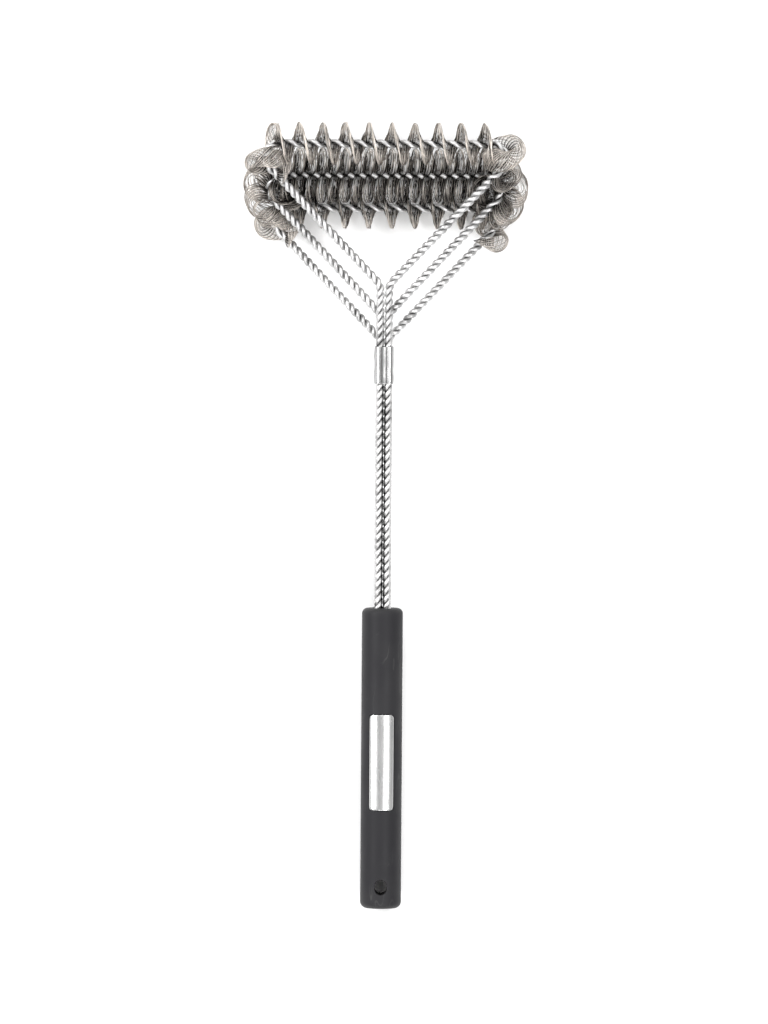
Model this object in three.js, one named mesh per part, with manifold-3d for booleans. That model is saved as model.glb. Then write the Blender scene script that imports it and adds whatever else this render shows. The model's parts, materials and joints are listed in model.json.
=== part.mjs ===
// Grill cleaning brush without bristles: three wound-wire heads on twisted wire cores, nameplate side up.
//
// Each head is one pair of core wires twisted together. The pair leaves the handle as the left leg, runs up
// through the stem ferrule, turns out as the left arm, crosses over as the core of the head, and comes back
// as the right arm and right leg. A fine wire coil is trapped in the twist along the head, so that its rings
// stand out as one helical ridge. The middle head carries two such coils, half a turn apart.
//
// Brush frame, in millimetres: +Y runs up the stem from the butt of the handle, +X to the right, and +Z is
// the side that the nameplate is on. The exported group turns that frame so that the brush rests on z = 0.

import * as THREE from "three";
import { mergeVertices } from "three/addons/utils/BufferGeometryUtils.js";
import Module from "manifold-3d";

const wasm = await Module();
wasm.setup();

// ---------------------------------------------------------------------------------------------------------
// Driving dimensions
// ---------------------------------------------------------------------------------------------------------

const fitGap = 0.3; // left between pieces that touch on the real brush

// Core wires
const wireDiameter = 2.3;
const wireSides = 5;
const wireStepsPerTurn = 8;
const coreLay = 13.4; // length of one full twist under the coil
const legLay = 128; // length of one twist on arms and legs, fourteen times slower than the real one
const legGap = 0.1; // between neighbouring pairs in the stem, at their thickest

// Heads
const headGap = 0.5; // between the coils of neighbouring heads
const headAngle = 42; // degrees between the plane of the three cores and the stem
const headReach = 99.4; // from the top of the stem ferrule to the middle core
const headHalfWidths = { far: 80.4, middle: 78, near: 75 }; // to where core and arm would meet in a corner
const headCornerRadius = 8.2; // of the core where it turns into an arm
const armBendRises = { far: 36, middle: 19, near: 4.4 }; // bend of the arm above the stem ferrule
const armBendRadii = { far: 9, middle: 9, near: 6.5 };

// Coil of fine wire
const coilDiameter = 24.9;
const spikeOffset = 3.7; // from the middle of the core to the nearest spike that stands straight up
const coilStepsPerTurn = 12;
const coilBaseHalfWidths = { far: 2.7, middle: 1.9, near: 2.7 }; // half of a ridge's thickness, at the core
const coilTipHalfWidth = 0.9;
const coilCornerTurn = 100; // degrees of the corner that the coil follows before it ends
const coilInsideShare = 0.62; // share of the corner radius that the ridge may take on the inside
const coilInsideGrowth = 0.43; // how fast the inside room grows away from the corner
const coilFootGap = 0.45; // between the core pair and the foot of the ridge
const coilLeastHeight = 1; // of the ridge above its base, wherever it has to be cut down

// Stem and its ferrules
const stemLength = 130.5; // from the top of the handle to the stem ferrule
const ferruleLength = 21.5;
const ferruleWall = 0.5;
const ferruleGrooveHalfWidth = 0.8;
const ferruleGrooveDepth = 0.9;
const anchorLength = 14;
const anchorRise = 3; // from the ends of the legs to the anchor ferrule

// Handle
const handleDiameter = 23.8;
const handleLength = 175;
const handleSides = 32;
const buttRadius = 4;
const shoulderRise = 3.2;
const shoulderInset = 3.4;
const socketDepth = 44;
const socketWallGap = 0.4; // between the anchor ferrule and the wall of the socket
const resinDepth = 6;
const hangHoleHeight = 12.6; // from the butt to the middle of the hanging hole
const hangHoleWidth = 7;
const hangHoleLength = 8.8;
const roundSteps = 4; // of each rounded end of the handle
const holeSegments = 10; // of each rounded end of the hanging hole
const cutMargin = 1; // by which a cut runs past the surface that it opens

// Nameplate
const plateWidth = 13.8; // measured straight across
const plateLength = 55.6;
const plateThickness = 0.8;
const plateCornerRadius = 2.2;
const plateRise = 57.6; // from the butt to the lower end of the plate
const plateProud = 0.5; // how far the plate stands out of the grip
const adhesiveThickness = 0.4;
const adhesiveInset = 1; // from the edge of the plate to the edge of the pad

// ---------------------------------------------------------------------------------------------------------
// Sizes that follow
// ---------------------------------------------------------------------------------------------------------

const wireRadius = wireDiameter / 2;
const wireOffset = (wireDiameter + fitGap) / 2; // from the axis of the pair to the axis of a wire
const pairRadius = wireOffset + wireRadius;
const legSpacing = 2 * pairRadius + legGap; // between neighbouring legs, side to side and front to back
const legOffset = legSpacing / 2;

const handleRadius = handleDiameter / 2;
const ferruleBottom = handleLength + stemLength;
const ferruleTop = ferruleBottom + ferruleLength;
const legEnd = handleLength - socketDepth + resinDepth + fitGap;
const anchorBottom = legEnd + anchorRise;
const middleCoreHeight = ferruleTop + headReach;
const coilRadius = coilDiameter / 2;
const coilBase = pairRadius + coilFootGap;
const headSpacing = coilDiameter + headGap; // between neighbouring core axes
const coreStepUp = headSpacing * Math.cos(THREE.MathUtils.degToRad(headAngle));
const coreStepOut = headSpacing * Math.sin(THREE.MathUtils.degToRad(headAngle));
const overallLength = middleCoreHeight + coreStepUp + coilRadius;

// level counts the heads from the middle one. Each coil says how many half turns it is ahead of the far coil.
const heads = [
  { name: "far", level: 1, coils: { coil: 0 } },
  { name: "middle", level: 0, coils: { coil: 0, second_coil: 1 } },
  { name: "near", level: -1, coils: { coil: 1 } },
];

const steel = new THREE.MeshStandardMaterial({ color: 0xb9bab8, roughness: 0.32, metalness: 1 });
const fineSteel = new THREE.MeshStandardMaterial({ color: 0x8d8880, roughness: 0.38, metalness: 1 });
const ferruleSteel = new THREE.MeshStandardMaterial({ color: 0xd5d5d3, roughness: 0.2, metalness: 1 });
const plateSteel = new THREE.MeshStandardMaterial({ color: 0xdadada, roughness: 0.28, metalness: 1 });
const gripPlastic = new THREE.MeshStandardMaterial({ color: 0x3b3b3e, roughness: 0.55, metalness: 0 });
const adhesive = new THREE.MeshStandardMaterial({ color: 0x222222, roughness: 0.9, metalness: 0 });
const resin = new THREE.MeshStandardMaterial({ color: 0xb59a5a, roughness: 0.4, metalness: 0 });

// ---------------------------------------------------------------------------------------------------------
// Solids
// ---------------------------------------------------------------------------------------------------------

/** A named mesh. */
function piece(name, geometry, material) {
  const mesh = new THREE.Mesh(geometry, material);
  mesh.name = name;
  return mesh;
}

/** A closed three.js geometry as a solid that can be joined and cut. */
function solid(geometry) {
  const bare = geometry.clone();
  bare.deleteAttribute("normal");
  bare.deleteAttribute("uv");
  const merged = mergeVertices(bare, 1e-4);
  return new wasm.Manifold(
    new wasm.Mesh({
      numProp: 3,
      vertProperties: merged.attributes.position.array,
      triVerts: new Uint32Array(merged.index.array),
    }),
  );
}

/** A solid as a three.js geometry again. */
function geometryOf(cutSolid) {
  const mesh = cutSolid.getMesh();
  const geometry = new THREE.BufferGeometry();
  geometry.setAttribute("position", new THREE.BufferAttribute(mesh.vertProperties, 3));
  geometry.setIndex(new THREE.BufferAttribute(mesh.triVerts, 1));
  geometry.computeVertexNormals();
  return geometry;
}

/** A closed skin over a row of equal outlines, whose points run anticlockwise seen from the far end. */
function skin(outlines) {
  const count = outlines[0].length;
  const triangles = [];
  for (let row = 0; row + 1 < outlines.length; row++) {
    for (let i = 0; i < count; i++) {
      const here = row * count + i;
      const beside = row * count + ((i + 1) % count);
      triangles.push(here, beside, here + count, beside, beside + count, here + count);
    }
  }
  const last = (outlines.length - 1) * count;
  for (let i = 1; i + 1 < count; i++) {
    triangles.push(0, i + 1, i, last, last + i, last + i + 1);
  }
  const geometry = new THREE.BufferGeometry().setFromPoints(outlines.flat());
  geometry.setIndex(triangles);
  geometry.computeVertexNormals();
  return geometry;
}

/** An outline drawn in x and z, stretched along +Y from one height to another. */
function stretched(outline, bottom, top, curveSegments) {
  const geometry = new THREE.ExtrudeGeometry(outline, {
    depth: top - bottom,
    bevelEnabled: false,
    curveSegments,
  });
  // The extrusion runs along +Z with its outline in x and y; this turn lays it along +Y with y going to -Z.
  return geometry.rotateX(-Math.PI / 2).translate(0, bottom, 0);
}

// ---------------------------------------------------------------------------------------------------------
// Routes of the core pairs
// ---------------------------------------------------------------------------------------------------------

/** Straight runs between corner points, with an arc of the given radius at each inner corner. */
function roundedRoute(points, radii) {
  const parts = [];
  const cuts = points.map((corner, i) => {
    if (i === 0 || i === points.length - 1) return null;
    const into = corner.clone().sub(points[i - 1]).normalize();
    const out = points[i + 1].clone().sub(corner).normalize();
    const turn = into.angleTo(out);
    return { into, out, turn, radius: radii[i - 1], reach: radii[i - 1] * Math.tan(turn / 2) };
  });
  for (let i = 0; i + 1 < points.length; i++) {
    const direction = points[i + 1].clone().sub(points[i]);
    const from = points[i].clone().addScaledVector(direction.clone().normalize(), cuts[i]?.reach ?? 0);
    const length = direction.length() - (cuts[i]?.reach ?? 0) - (cuts[i + 1]?.reach ?? 0);
    parts.push({ length, from, direction: direction.normalize() });
    const cut = cuts[i + 1];
    if (cut) {
      const start = from.clone().addScaledVector(direction, length);
      const inward = cut.out.clone().addScaledVector(cut.into, -cut.out.dot(cut.into)).normalize();
      const centre = start.clone().addScaledVector(inward, cut.radius);
      parts.push({ length: cut.radius * cut.turn, centre, inward, ...cut });
    }
  }
  return parts;
}

/** Point, direction and, on an arc, the way to its centre, at a distance along a route. */
function placeOn(parts, distance) {
  let left = distance;
  let part = parts[0];
  for (part of parts) {
    if (left <= part.length || part === parts[parts.length - 1]) break;
    left -= part.length;
  }
  if (!part.centre) {
    const point = part.from.clone().addScaledVector(part.direction, left);
    return { point, tangent: part.direction.clone() };
  }
  const angle = left / part.radius;
  const cosine = Math.cos(angle);
  const sine = Math.sin(angle);
  const tangent = part.into.clone().multiplyScalar(cosine).addScaledVector(part.inward, sine);
  const inward = part.inward.clone().multiplyScalar(cosine).addScaledVector(part.into, -sine);
  return { point: part.centre.clone().addScaledVector(inward, -part.radius), tangent, inward };
}

/** The route of one core pair, from the end of the left leg to the end of the right leg. */
function pairRoute(head) {
  const rise = armBendRises[head.name];
  const half = [
    new THREE.Vector3(legOffset, legEnd, head.level * legSpacing),
    new THREE.Vector3(legOffset, ferruleTop + rise, head.level * legSpacing),
    new THREE.Vector3(
      headHalfWidths[head.name], middleCoreHeight + head.level * coreStepUp, head.level * coreStepOut,
    ),
  ];
  const left = half.map((p) => new THREE.Vector3(-p.x, p.y, p.z));
  const bend = armBendRadii[head.name];
  const radii = [bend, headCornerRadius, headCornerRadius, bend];
  const parts = roundedRoute([...left, ...half.reverse()], radii);
  return { parts, length: parts.reduce((sum, part) => sum + part.length, 0) };
}

/** Half the length of the core between its two corners, and of the stretch that carries the coil. */
function coilReach(route) {
  const corners = route.parts.filter((part) => part.radius === headCornerRadius);
  const straight = route.parts[route.parts.indexOf(corners[0]) + 1].length / 2;
  return { straight, half: straight + headCornerRadius * THREE.MathUtils.degToRad(coilCornerTurn) };
}

/** Twist of the pair, in radians from straight up, at a distance from the middle of the core. */
function twistAt(fromMiddle, reach) {
  const tight = Math.min(Math.abs(fromMiddle), reach.half);
  const slow = Math.abs(fromMiddle) - tight;
  const turns = Math.sign(fromMiddle) * (tight / coreLay + slow / legLay);
  return 2 * Math.PI * (turns - spikeOffset / coreLay);
}

/** Stations along a route, with a cross direction carried from the middle of the core without extra twist. */
function stations(route, distances) {
  const middle = route.length / 2;
  const rows = distances.map((distance) => {
    return { fromMiddle: distance - middle, ...placeOn(route.parts, distance) };
  });
  const centre = rows.findIndex((row) => row.fromMiddle >= 0);
  const carry = (from, to) => {
    const turn = new THREE.Quaternion().setFromUnitVectors(from.tangent, to.tangent);
    to.up = from.up.clone().applyQuaternion(turn);
  };
  rows[centre].up = new THREE.Vector3(0, 1, 0);
  for (let i = centre + 1; i < rows.length; i++) {
    carry(rows[i - 1], rows[i]);
  }
  for (let i = centre - 1; i >= 0; i--) {
    carry(rows[i + 1], rows[i]);
  }
  return rows;
}

/** The direction that stands out of the core at a station, after the twist there. */
function ridgeDirection(row, twist) {
  const side = row.tangent.clone().cross(row.up);
  return row.up.clone().multiplyScalar(Math.cos(twist)).addScaledVector(side, Math.sin(twist));
}

/** Distances from the start of the route at which a wire needs a station. */
function wireDistances(route, reach) {
  const distances = [0];
  let start = 0;
  for (const part of route.parts) {
    const underCoil = Math.abs(start + part.length / 2 - route.length / 2) < reach.half;
    const twistStep = (underCoil ? coreLay : legLay) / wireStepsPerTurn;
    const step = part.centre ? Math.min(twistStep, armBendRadii.near / 2) : twistStep;
    const count = Math.ceil(part.length / step);
    for (let i = 1; i <= count; i++) {
      distances.push(start + (part.length * i) / count);
    }
    start += part.length;
  }
  return distances;
}

// ---------------------------------------------------------------------------------------------------------
// Pieces
// ---------------------------------------------------------------------------------------------------------

/** One of the two wires of a core pair; side is +1 or -1 across the pair. */
function coreWire(head, side) {
  const route = pairRoute(head);
  const reach = coilReach(route);
  const outlines = stations(route, wireDistances(route, reach)).map((row) => {
    const across = ridgeDirection(row, twistAt(row.fromMiddle, reach)).multiplyScalar(side);
    const along = row.tangent.clone().cross(across);
    const centre = row.point.clone().addScaledVector(across, wireOffset);
    return Array.from({ length: wireSides }, (_, i) => {
      const angle = (2 * Math.PI * i) / wireSides;
      return centre
        .clone()
        .addScaledVector(across, wireRadius * Math.cos(angle))
        .addScaledVector(along, wireRadius * Math.sin(angle));
    });
  });
  return skin(outlines);
}

/** How far the ridge may stand out before it comes too close to the arms of the next head up. */
function roomUnderArms(head, row, direction) {
  const next = heads.find((other) => other.level === head.level + 1);
  if (!next) return coilRadius;
  const clear = pairRadius + fitGap + coilTipHalfWidth;
  const tooClose = (height) => {
    const tip = row.point.clone().addScaledVector(direction, height);
    return armsOf(next).some((arm) => {
      const closest = arm.closestPointToPoint(tip, true, new THREE.Vector3());
      return closest.distanceTo(tip) < clear;
    });
  };
  let height = coilRadius;
  while (height > clear && tooClose(height)) {
    height -= fitGap / 2;
  }
  return height;
}

/** The straight stretches of the two arms of a head. */
function armsOf(head) {
  const { parts } = pairRoute(head);
  return [parts[2], parts[parts.length - 3]].map(
    (arm) => new THREE.Line3(arm.from, arm.from.clone().addScaledVector(arm.direction, arm.length)),
  );
}

/** Height of the ridge at a station: full along the core, less where the next head or an arm is close. */
function ridgeHeight(head, row, direction, reach) {
  const slight = 0.05; // share of a direction below which it counts as square to a limit
  const stackDirection = new THREE.Vector3(0, coreStepUp, coreStepOut).normalize();
  const coreCentre = new THREE.Vector3(0, middleCoreHeight, 0);
  coreCentre.addScaledVector(stackDirection, head.level * headSpacing);
  const heights = [roomUnderArms(head, row, direction)];
  const place = row.point.clone().sub(coreCentre).dot(stackDirection);
  const share = direction.dot(stackDirection);
  if (Math.abs(share) > slight) {
    heights.push((headSpacing / 2 - fitGap / 2 - Math.sign(share) * place) / Math.abs(share));
  }
  const pastStraight = Math.abs(row.fromMiddle) - reach.straight;
  const inward = row.inward ?? new THREE.Vector3(0, -1, 0);
  const inside = direction.dot(inward);
  if (inside > slight) {
    const room = headCornerRadius * coilInsideShare + coilInsideGrowth * Math.max(0, -pastStraight);
    heights.push(room / inside);
  }
  return Math.max(Math.min(...heights), coilBase + coilLeastHeight);
}

/** The helical ridge that the rings of a coil fill, a number of half turns ahead of the far head's coil. */
function coil(head, halfTurns) {
  const route = pairRoute(head);
  const reach = coilReach(route);
  const steps = 2 * Math.floor((reach.half / coreLay) * coilStepsPerTurn);
  const step = coreLay / coilStepsPerTurn;
  const start = route.length / 2 - (steps / 2) * step;
  const distances = Array.from({ length: steps + 1 }, (_, i) => start + i * step);
  const baseHalfWidth = coilBaseHalfWidths[head.name];
  const outlines = stations(route, distances).map((row) => {
    const direction = ridgeDirection(row, twistAt(row.fromMiddle, reach) + Math.PI * halfTurns);
    const height = ridgeHeight(head, row, direction, reach);
    const profile = [
      [coilBase, -baseHalfWidth],
      [coilBase, baseHalfWidth],
      [height, coilTipHalfWidth],
      [height, -coilTipHalfWidth],
    ];
    return profile.map(([out, along]) =>
      row.point.clone().addScaledVector(direction, out).addScaledVector(row.tangent, along),
    );
  });
  return skin(outlines);
}

/** Outline of a sleeve that hugs the six legs, each corner leg cleared by the given radius. */
function sleeveOutline(Type, radius, grooveDepth) {
  const outline = new Type();
  const frontToBack = legSpacing;
  const groove = frontToBack + radius - grooveDepth;
  const turnIn = Math.acos(Math.min(1, (legOffset - ferruleGrooveHalfWidth) / radius));
  outline.moveTo(legOffset + radius, -frontToBack);
  outline.absarc(legOffset, frontToBack, radius, 0, Math.PI - turnIn, false);
  outline.lineTo(ferruleGrooveHalfWidth, groove);
  outline.lineTo(-ferruleGrooveHalfWidth, groove);
  outline.absarc(-legOffset, frontToBack, radius, turnIn, Math.PI, false);
  outline.absarc(-legOffset, -frontToBack, radius, Math.PI, 2 * Math.PI - turnIn, false);
  outline.lineTo(-ferruleGrooveHalfWidth, -groove);
  outline.lineTo(ferruleGrooveHalfWidth, -groove);
  outline.absarc(legOffset, -frontToBack, radius, Math.PI + turnIn, 2 * Math.PI, false);
  return outline;
}

const sleeveInnerRadius = pairRadius + fitGap;
const sleeveOuterRadius = sleeveInnerRadius + ferruleWall;
const sleeveCurveSegments = 6;

/** A crimped sleeve around the six legs. */
function ferrule(bottom, top) {
  const outline = sleeveOutline(THREE.Shape, sleeveOuterRadius, ferruleGrooveDepth);
  outline.holes.push(sleeveOutline(THREE.Path, sleeveInnerRadius, ferruleGrooveDepth));
  return stretched(outline, bottom, top, sleeveCurveSegments);
}

/** Four round corners around the corner legs with straight sides: the plain shape of the socket. */
function socketOutline(radius) {
  const outline = new THREE.Shape();
  outline.absarc(legOffset, legSpacing, radius, 0, Math.PI / 2, false);
  outline.absarc(-legOffset, legSpacing, radius, Math.PI / 2, Math.PI, false);
  outline.absarc(-legOffset, -legSpacing, radius, Math.PI, 1.5 * Math.PI, false);
  outline.absarc(legOffset, -legSpacing, radius, 1.5 * Math.PI, 2 * Math.PI, false);
  return outline;
}

const socketRadius = sleeveOuterRadius + socketWallGap;

/** The resin that beds the ends of the legs, at the bottom of the socket. */
function bondingResin() {
  const bottom = handleLength - socketDepth + fitGap;
  const top = handleLength - socketDepth + resinDepth;
  return stretched(socketOutline(socketRadius - fitGap), bottom, top, sleeveCurveSegments);
}

/** A sheet curved round the handle's axis, with round corners, drawn flat and then bent. */
function curvedSheet(width, bottom, top, innerRadius, thickness, cornerRadius, steps) {
  const halfAngle = Math.asin(width / 2 / innerRadius);
  const outerRadius = innerRadius + thickness;
  const corner = Math.min(cornerRadius, (top - bottom) / 2);
  // Columns run across the sheet; each gives how far the round corners pull its two ends in.
  const outlines = Array.from({ length: steps + 1 }, (_, i) => {
    const angle = halfAngle * Math.sin((Math.PI / 2) * ((2 * i) / steps - 1));
    const fromEdge = (halfAngle - Math.abs(angle)) * innerRadius;
    const short = Math.max(0, corner - fromEdge);
    const pull = corner - Math.sqrt(Math.max(0, corner * corner - short * short));
    const across = Math.sin(angle);
    const out = Math.cos(angle);
    return [
      [innerRadius, bottom + pull],
      [innerRadius, top - pull],
      [outerRadius, top - pull],
      [outerRadius, bottom + pull],
    ].map(([radius, y]) => new THREE.Vector3(radius * across, y, radius * out));
  });
  return skin(outlines);
}

const plateOuterRadius = handleRadius + plateProud;
const plateInnerRadius = plateOuterRadius - plateThickness;
const plateTop = plateRise + plateLength;
const plateSteps = 16;
const recessFloorRadius = plateInnerRadius - adhesiveThickness - 2 * fitGap;

/** The curved nameplate. */
function nameplate() {
  return curvedSheet(
    plateWidth, plateRise, plateTop, plateInnerRadius, plateThickness, plateCornerRadius, plateSteps,
  );
}

/** The adhesive pad between the nameplate and the floor of its recess. */
function nameplateAdhesive() {
  return curvedSheet(
    plateWidth - 2 * adhesiveInset, plateRise + adhesiveInset, plateTop - adhesiveInset,
    recessFloorRadius + fitGap, adhesiveThickness, plateCornerRadius, plateSteps,
  );
}

/** The moulded grip: a round bar with a domed shoulder, a socket, a hanging hole and the plate's recess. */
function handleGrip() {
  const arc = (centreX, centreY, radiusX, radiusY, from, to, steps) =>
    Array.from({ length: steps + 1 }, (_, i) => {
      const angle = THREE.MathUtils.degToRad(from + ((to - from) * i) / steps);
      return new THREE.Vector2(centreX + radiusX * Math.cos(angle), centreY + radiusY * Math.sin(angle));
    });
  const shoulderRadius = handleRadius - shoulderInset;
  const profile = [
    new THREE.Vector2(0, 0),
    ...arc(handleRadius - buttRadius, buttRadius, buttRadius, buttRadius, -90, 0, roundSteps),
    ...arc(shoulderRadius, handleLength - shoulderRise, shoulderInset, shoulderRise, 0, 90, roundSteps),
    new THREE.Vector2(0, handleLength),
  ];
  const bar = solid(new THREE.LatheGeometry(profile, handleSides));

  const socketBottom = handleLength - socketDepth;
  const socketTop = handleLength + cutMargin;
  const socket = solid(stretched(socketOutline(socketRadius), socketBottom, socketTop, sleeveCurveSegments));

  const holeOutline = new THREE.Shape();
  const holeRadius = hangHoleWidth / 2;
  const holeShift = (hangHoleLength - hangHoleWidth) / 2;
  holeOutline.absarc(0, holeShift, holeRadius, 0, Math.PI, false);
  holeOutline.absarc(0, -holeShift, holeRadius, Math.PI, 2 * Math.PI, false);
  const hole = solid(
    new THREE.ExtrudeGeometry(holeOutline, {
      depth: handleDiameter + 2 * cutMargin,
      bevelEnabled: false,
      curveSegments: holeSegments,
    }).translate(0, hangHoleHeight, -handleRadius - cutMargin),
  );

  const recess = solid(
    curvedSheet(
      plateWidth + 2 * fitGap, plateRise - fitGap, plateTop + fitGap, recessFloorRadius,
      plateOuterRadius + cutMargin - recessFloorRadius, plateCornerRadius + fitGap, plateSteps,
    ),
  );
  return geometryOf(bar.subtract(socket).subtract(hole).subtract(recess));
}

// ---------------------------------------------------------------------------------------------------------
// Assembly
// ---------------------------------------------------------------------------------------------------------

/** Adds the wires and the coils of one head to a group. */
function addHead(group, head) {
  group.add(piece(`${head.name}_head_core_wire_a`, coreWire(head, 1), steel));
  group.add(piece(`${head.name}_head_core_wire_b`, coreWire(head, -1), steel));
  for (const [coilName, halfTurns] of Object.entries(head.coils)) {
    group.add(piece(`${head.name}_head_${coilName}`, coil(head, halfTurns), fineSteel));
  }
}

/** How the brush lies: turned about X until the near coil and the butt of the handle touch one plane. */
function restingPlace() {
  const coilCentre = new THREE.Vector2(middleCoreHeight - coreStepUp, -coreStepOut);
  const buttCentre = new THREE.Vector2(buttRadius, buttRadius - handleRadius);
  const across = coilCentre.clone().sub(buttCentre);
  const turn = Math.asin((coilRadius - buttRadius) / across.length()) - Math.atan2(across.y, across.x);
  const lift = buttRadius - (buttCentre.x * Math.sin(turn) + buttCentre.y * Math.cos(turn));
  return { turn, lift };
}

const rest = restingPlace();
const brush = new THREE.Group();
brush.add(piece("handle_grip", handleGrip(), gripPlastic));
brush.add(piece("nameplate", nameplate(), plateSteel));
brush.add(piece("nameplate_adhesive", nameplateAdhesive(), adhesive));
brush.add(piece("socket_bonding_resin", bondingResin(), resin));
brush.add(piece("anchor_ferrule", ferrule(anchorBottom, anchorBottom + anchorLength), ferruleSteel));
brush.add(piece("stem_ferrule", ferrule(ferruleBottom, ferruleTop), ferruleSteel));
heads.forEach((head) => addHead(brush, head));
brush.position.set(0, -overallLength / 2, 0);

const root = new THREE.Group();
root.rotation.x = rest.turn;
root.position.set(0, 0, rest.lift + (overallLength / 2) * Math.sin(rest.turn));
root.add(brush);

const part = new THREE.Group();
part.add(root);

export default part;
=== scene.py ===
"""Looks of a bristle-free grill cleaning brush: wound-wire heads, twisted cores, ferrules, grip and plate.

Lengths are in metres. The brush has axes of its own: +Y runs up the stem from the butt of the grip, +X to the
right, and +Z out of the side that carries the nameplate. Every mesh is worked out in those axes and then
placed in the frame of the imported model.
"""

import json
import logging
import math
from dataclasses import dataclass, field
from enum import Enum

import bmesh
import bpy
import numpy as np
from mathutils import Matrix, Vector
from numpy.typing import NDArray


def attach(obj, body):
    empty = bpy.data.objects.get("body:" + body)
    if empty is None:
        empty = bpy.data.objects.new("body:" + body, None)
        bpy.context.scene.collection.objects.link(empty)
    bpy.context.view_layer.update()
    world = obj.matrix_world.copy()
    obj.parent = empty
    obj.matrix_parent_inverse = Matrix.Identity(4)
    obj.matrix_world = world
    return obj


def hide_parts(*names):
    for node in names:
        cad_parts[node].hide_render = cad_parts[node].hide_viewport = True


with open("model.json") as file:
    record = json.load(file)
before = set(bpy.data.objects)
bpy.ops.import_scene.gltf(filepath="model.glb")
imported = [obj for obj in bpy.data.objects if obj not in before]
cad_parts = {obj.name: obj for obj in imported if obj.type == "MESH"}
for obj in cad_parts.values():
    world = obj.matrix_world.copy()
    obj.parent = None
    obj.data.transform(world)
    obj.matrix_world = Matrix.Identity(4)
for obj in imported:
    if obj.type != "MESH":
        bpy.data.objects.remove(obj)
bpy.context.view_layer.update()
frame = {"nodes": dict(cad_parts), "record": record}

Array = NDArray[np.float64]
MM = 0.001
MERGE_DISTANCE = 1e-6  # vertices nearer than this are one
DEGENERATE_LENGTH = 1e-7  # edges shorter than this are dropped
log = logging.getLogger("brush")


# ------------------------------------------------------------------------------------------------------------
# Places
# ------------------------------------------------------------------------------------------------------------


@dataclass(frozen=True)
class BrushAxes:
    """The brush's own axes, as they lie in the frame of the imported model.

    Attributes:
        origin: Middle of the flat butt of the grip.
        rows: Unit vectors of +X, +Y and +Z of the brush, one in each row.
    """

    origin: Array
    rows: Array

    @classmethod
    def from_record(cls, record: dict) -> "BrushAxes":
        """Reads the axes off the mount on the butt of the grip.

        Args:
            record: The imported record.

        Returns:
            The axes: +Y is against the mount's outward normal and +X is the frame's own.
        """
        butt = next(mount for mount in record["mounts"] if mount["name"] == "handle_butt")
        along = -np.array(butt["axis"], float)
        along /= np.linalg.norm(along)
        across = np.array([1.0, 0.0, 0.0])
        return cls(np.array(butt["pos_m"], float), np.array([across, along, np.cross(across, along)]))

    def place(self, points: Array) -> Array:
        """Turns points from brush axes to the frame's axes.

        Args:
            points: Points in brush axes, with x, y and z last.

        Returns:
            origin + x across + y along + z out.
        """
        return self.origin + points @ self.rows

    def span(self, node: str) -> tuple[Array, Array]:
        """Measures a CAD node along the brush axes.

        Args:
            node: Name of the CAD node.

        Returns:
            Its lowest and highest corners in brush axes.
        """
        mesh = frame["nodes"][node].data
        flat = np.empty(3 * len(mesh.vertices))
        mesh.vertices.foreach_get("co", flat)
        local = (flat.reshape(-1, 3) - self.origin) @ self.rows.T
        return local.min(axis=0), local.max(axis=0)


def unit(vectors: Array) -> Array:
    """Vectors at length one: each is divided by its own length."""
    return vectors / np.linalg.norm(vectors, axis=-1, keepdims=True)


@dataclass(frozen=True)
class Stretch:
    """One straight stretch or arc of a route.

    Attributes:
        start: Distance along the route at which it begins.
        length: Its length.
        point: Where a straight stretch begins, or the centre of an arc.
        direction: Direction at its beginning.
        up: Carried cross direction at its beginning.
        inward: Direction from the beginning of an arc to its centre, or None on a straight stretch.
        radius: Radius of an arc, or 0.
    """

    start: float
    length: float
    point: Array
    direction: Array
    up: Array
    inward: Array | None = None
    radius: float = 0.0

    def turn(self, vectors: Array, angle: Array) -> Array:
        """Turns vectors about the arc's axis n, by v cos a + (n x v) sin a + n (n.v)(1 - cos a).

        Args:
            vectors: One vector to turn.
            angle: Angles, one for each result.

        Returns:
            One turned vector for each angle.
        """
        axis = np.cross(self.direction, self.inward)
        cosine, sine = np.cos(angle)[:, None], np.sin(angle)[:, None]
        along_axis = axis * (axis @ vectors)
        return vectors * cosine + np.cross(axis, vectors) * sine + along_axis * (1 - cosine)

    def sample(self, distances: Array) -> tuple[Array, Array, Array]:
        """Point, direction and up on this stretch.

        Args:
            distances: Distances along the whole route.

        Returns:
            Points, directions and up vectors, one row for each distance.
        """
        along = distances - self.start
        if self.inward is None:
            ones = np.ones((len(along), 1))
            return self.point + along[:, None] * self.direction, self.direction * ones, self.up * ones
        angle = along / self.radius
        outward = -self.turn(self.inward, angle)
        return self.point + self.radius * outward, self.turn(self.direction, angle), self.turn(self.up, angle)


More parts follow.
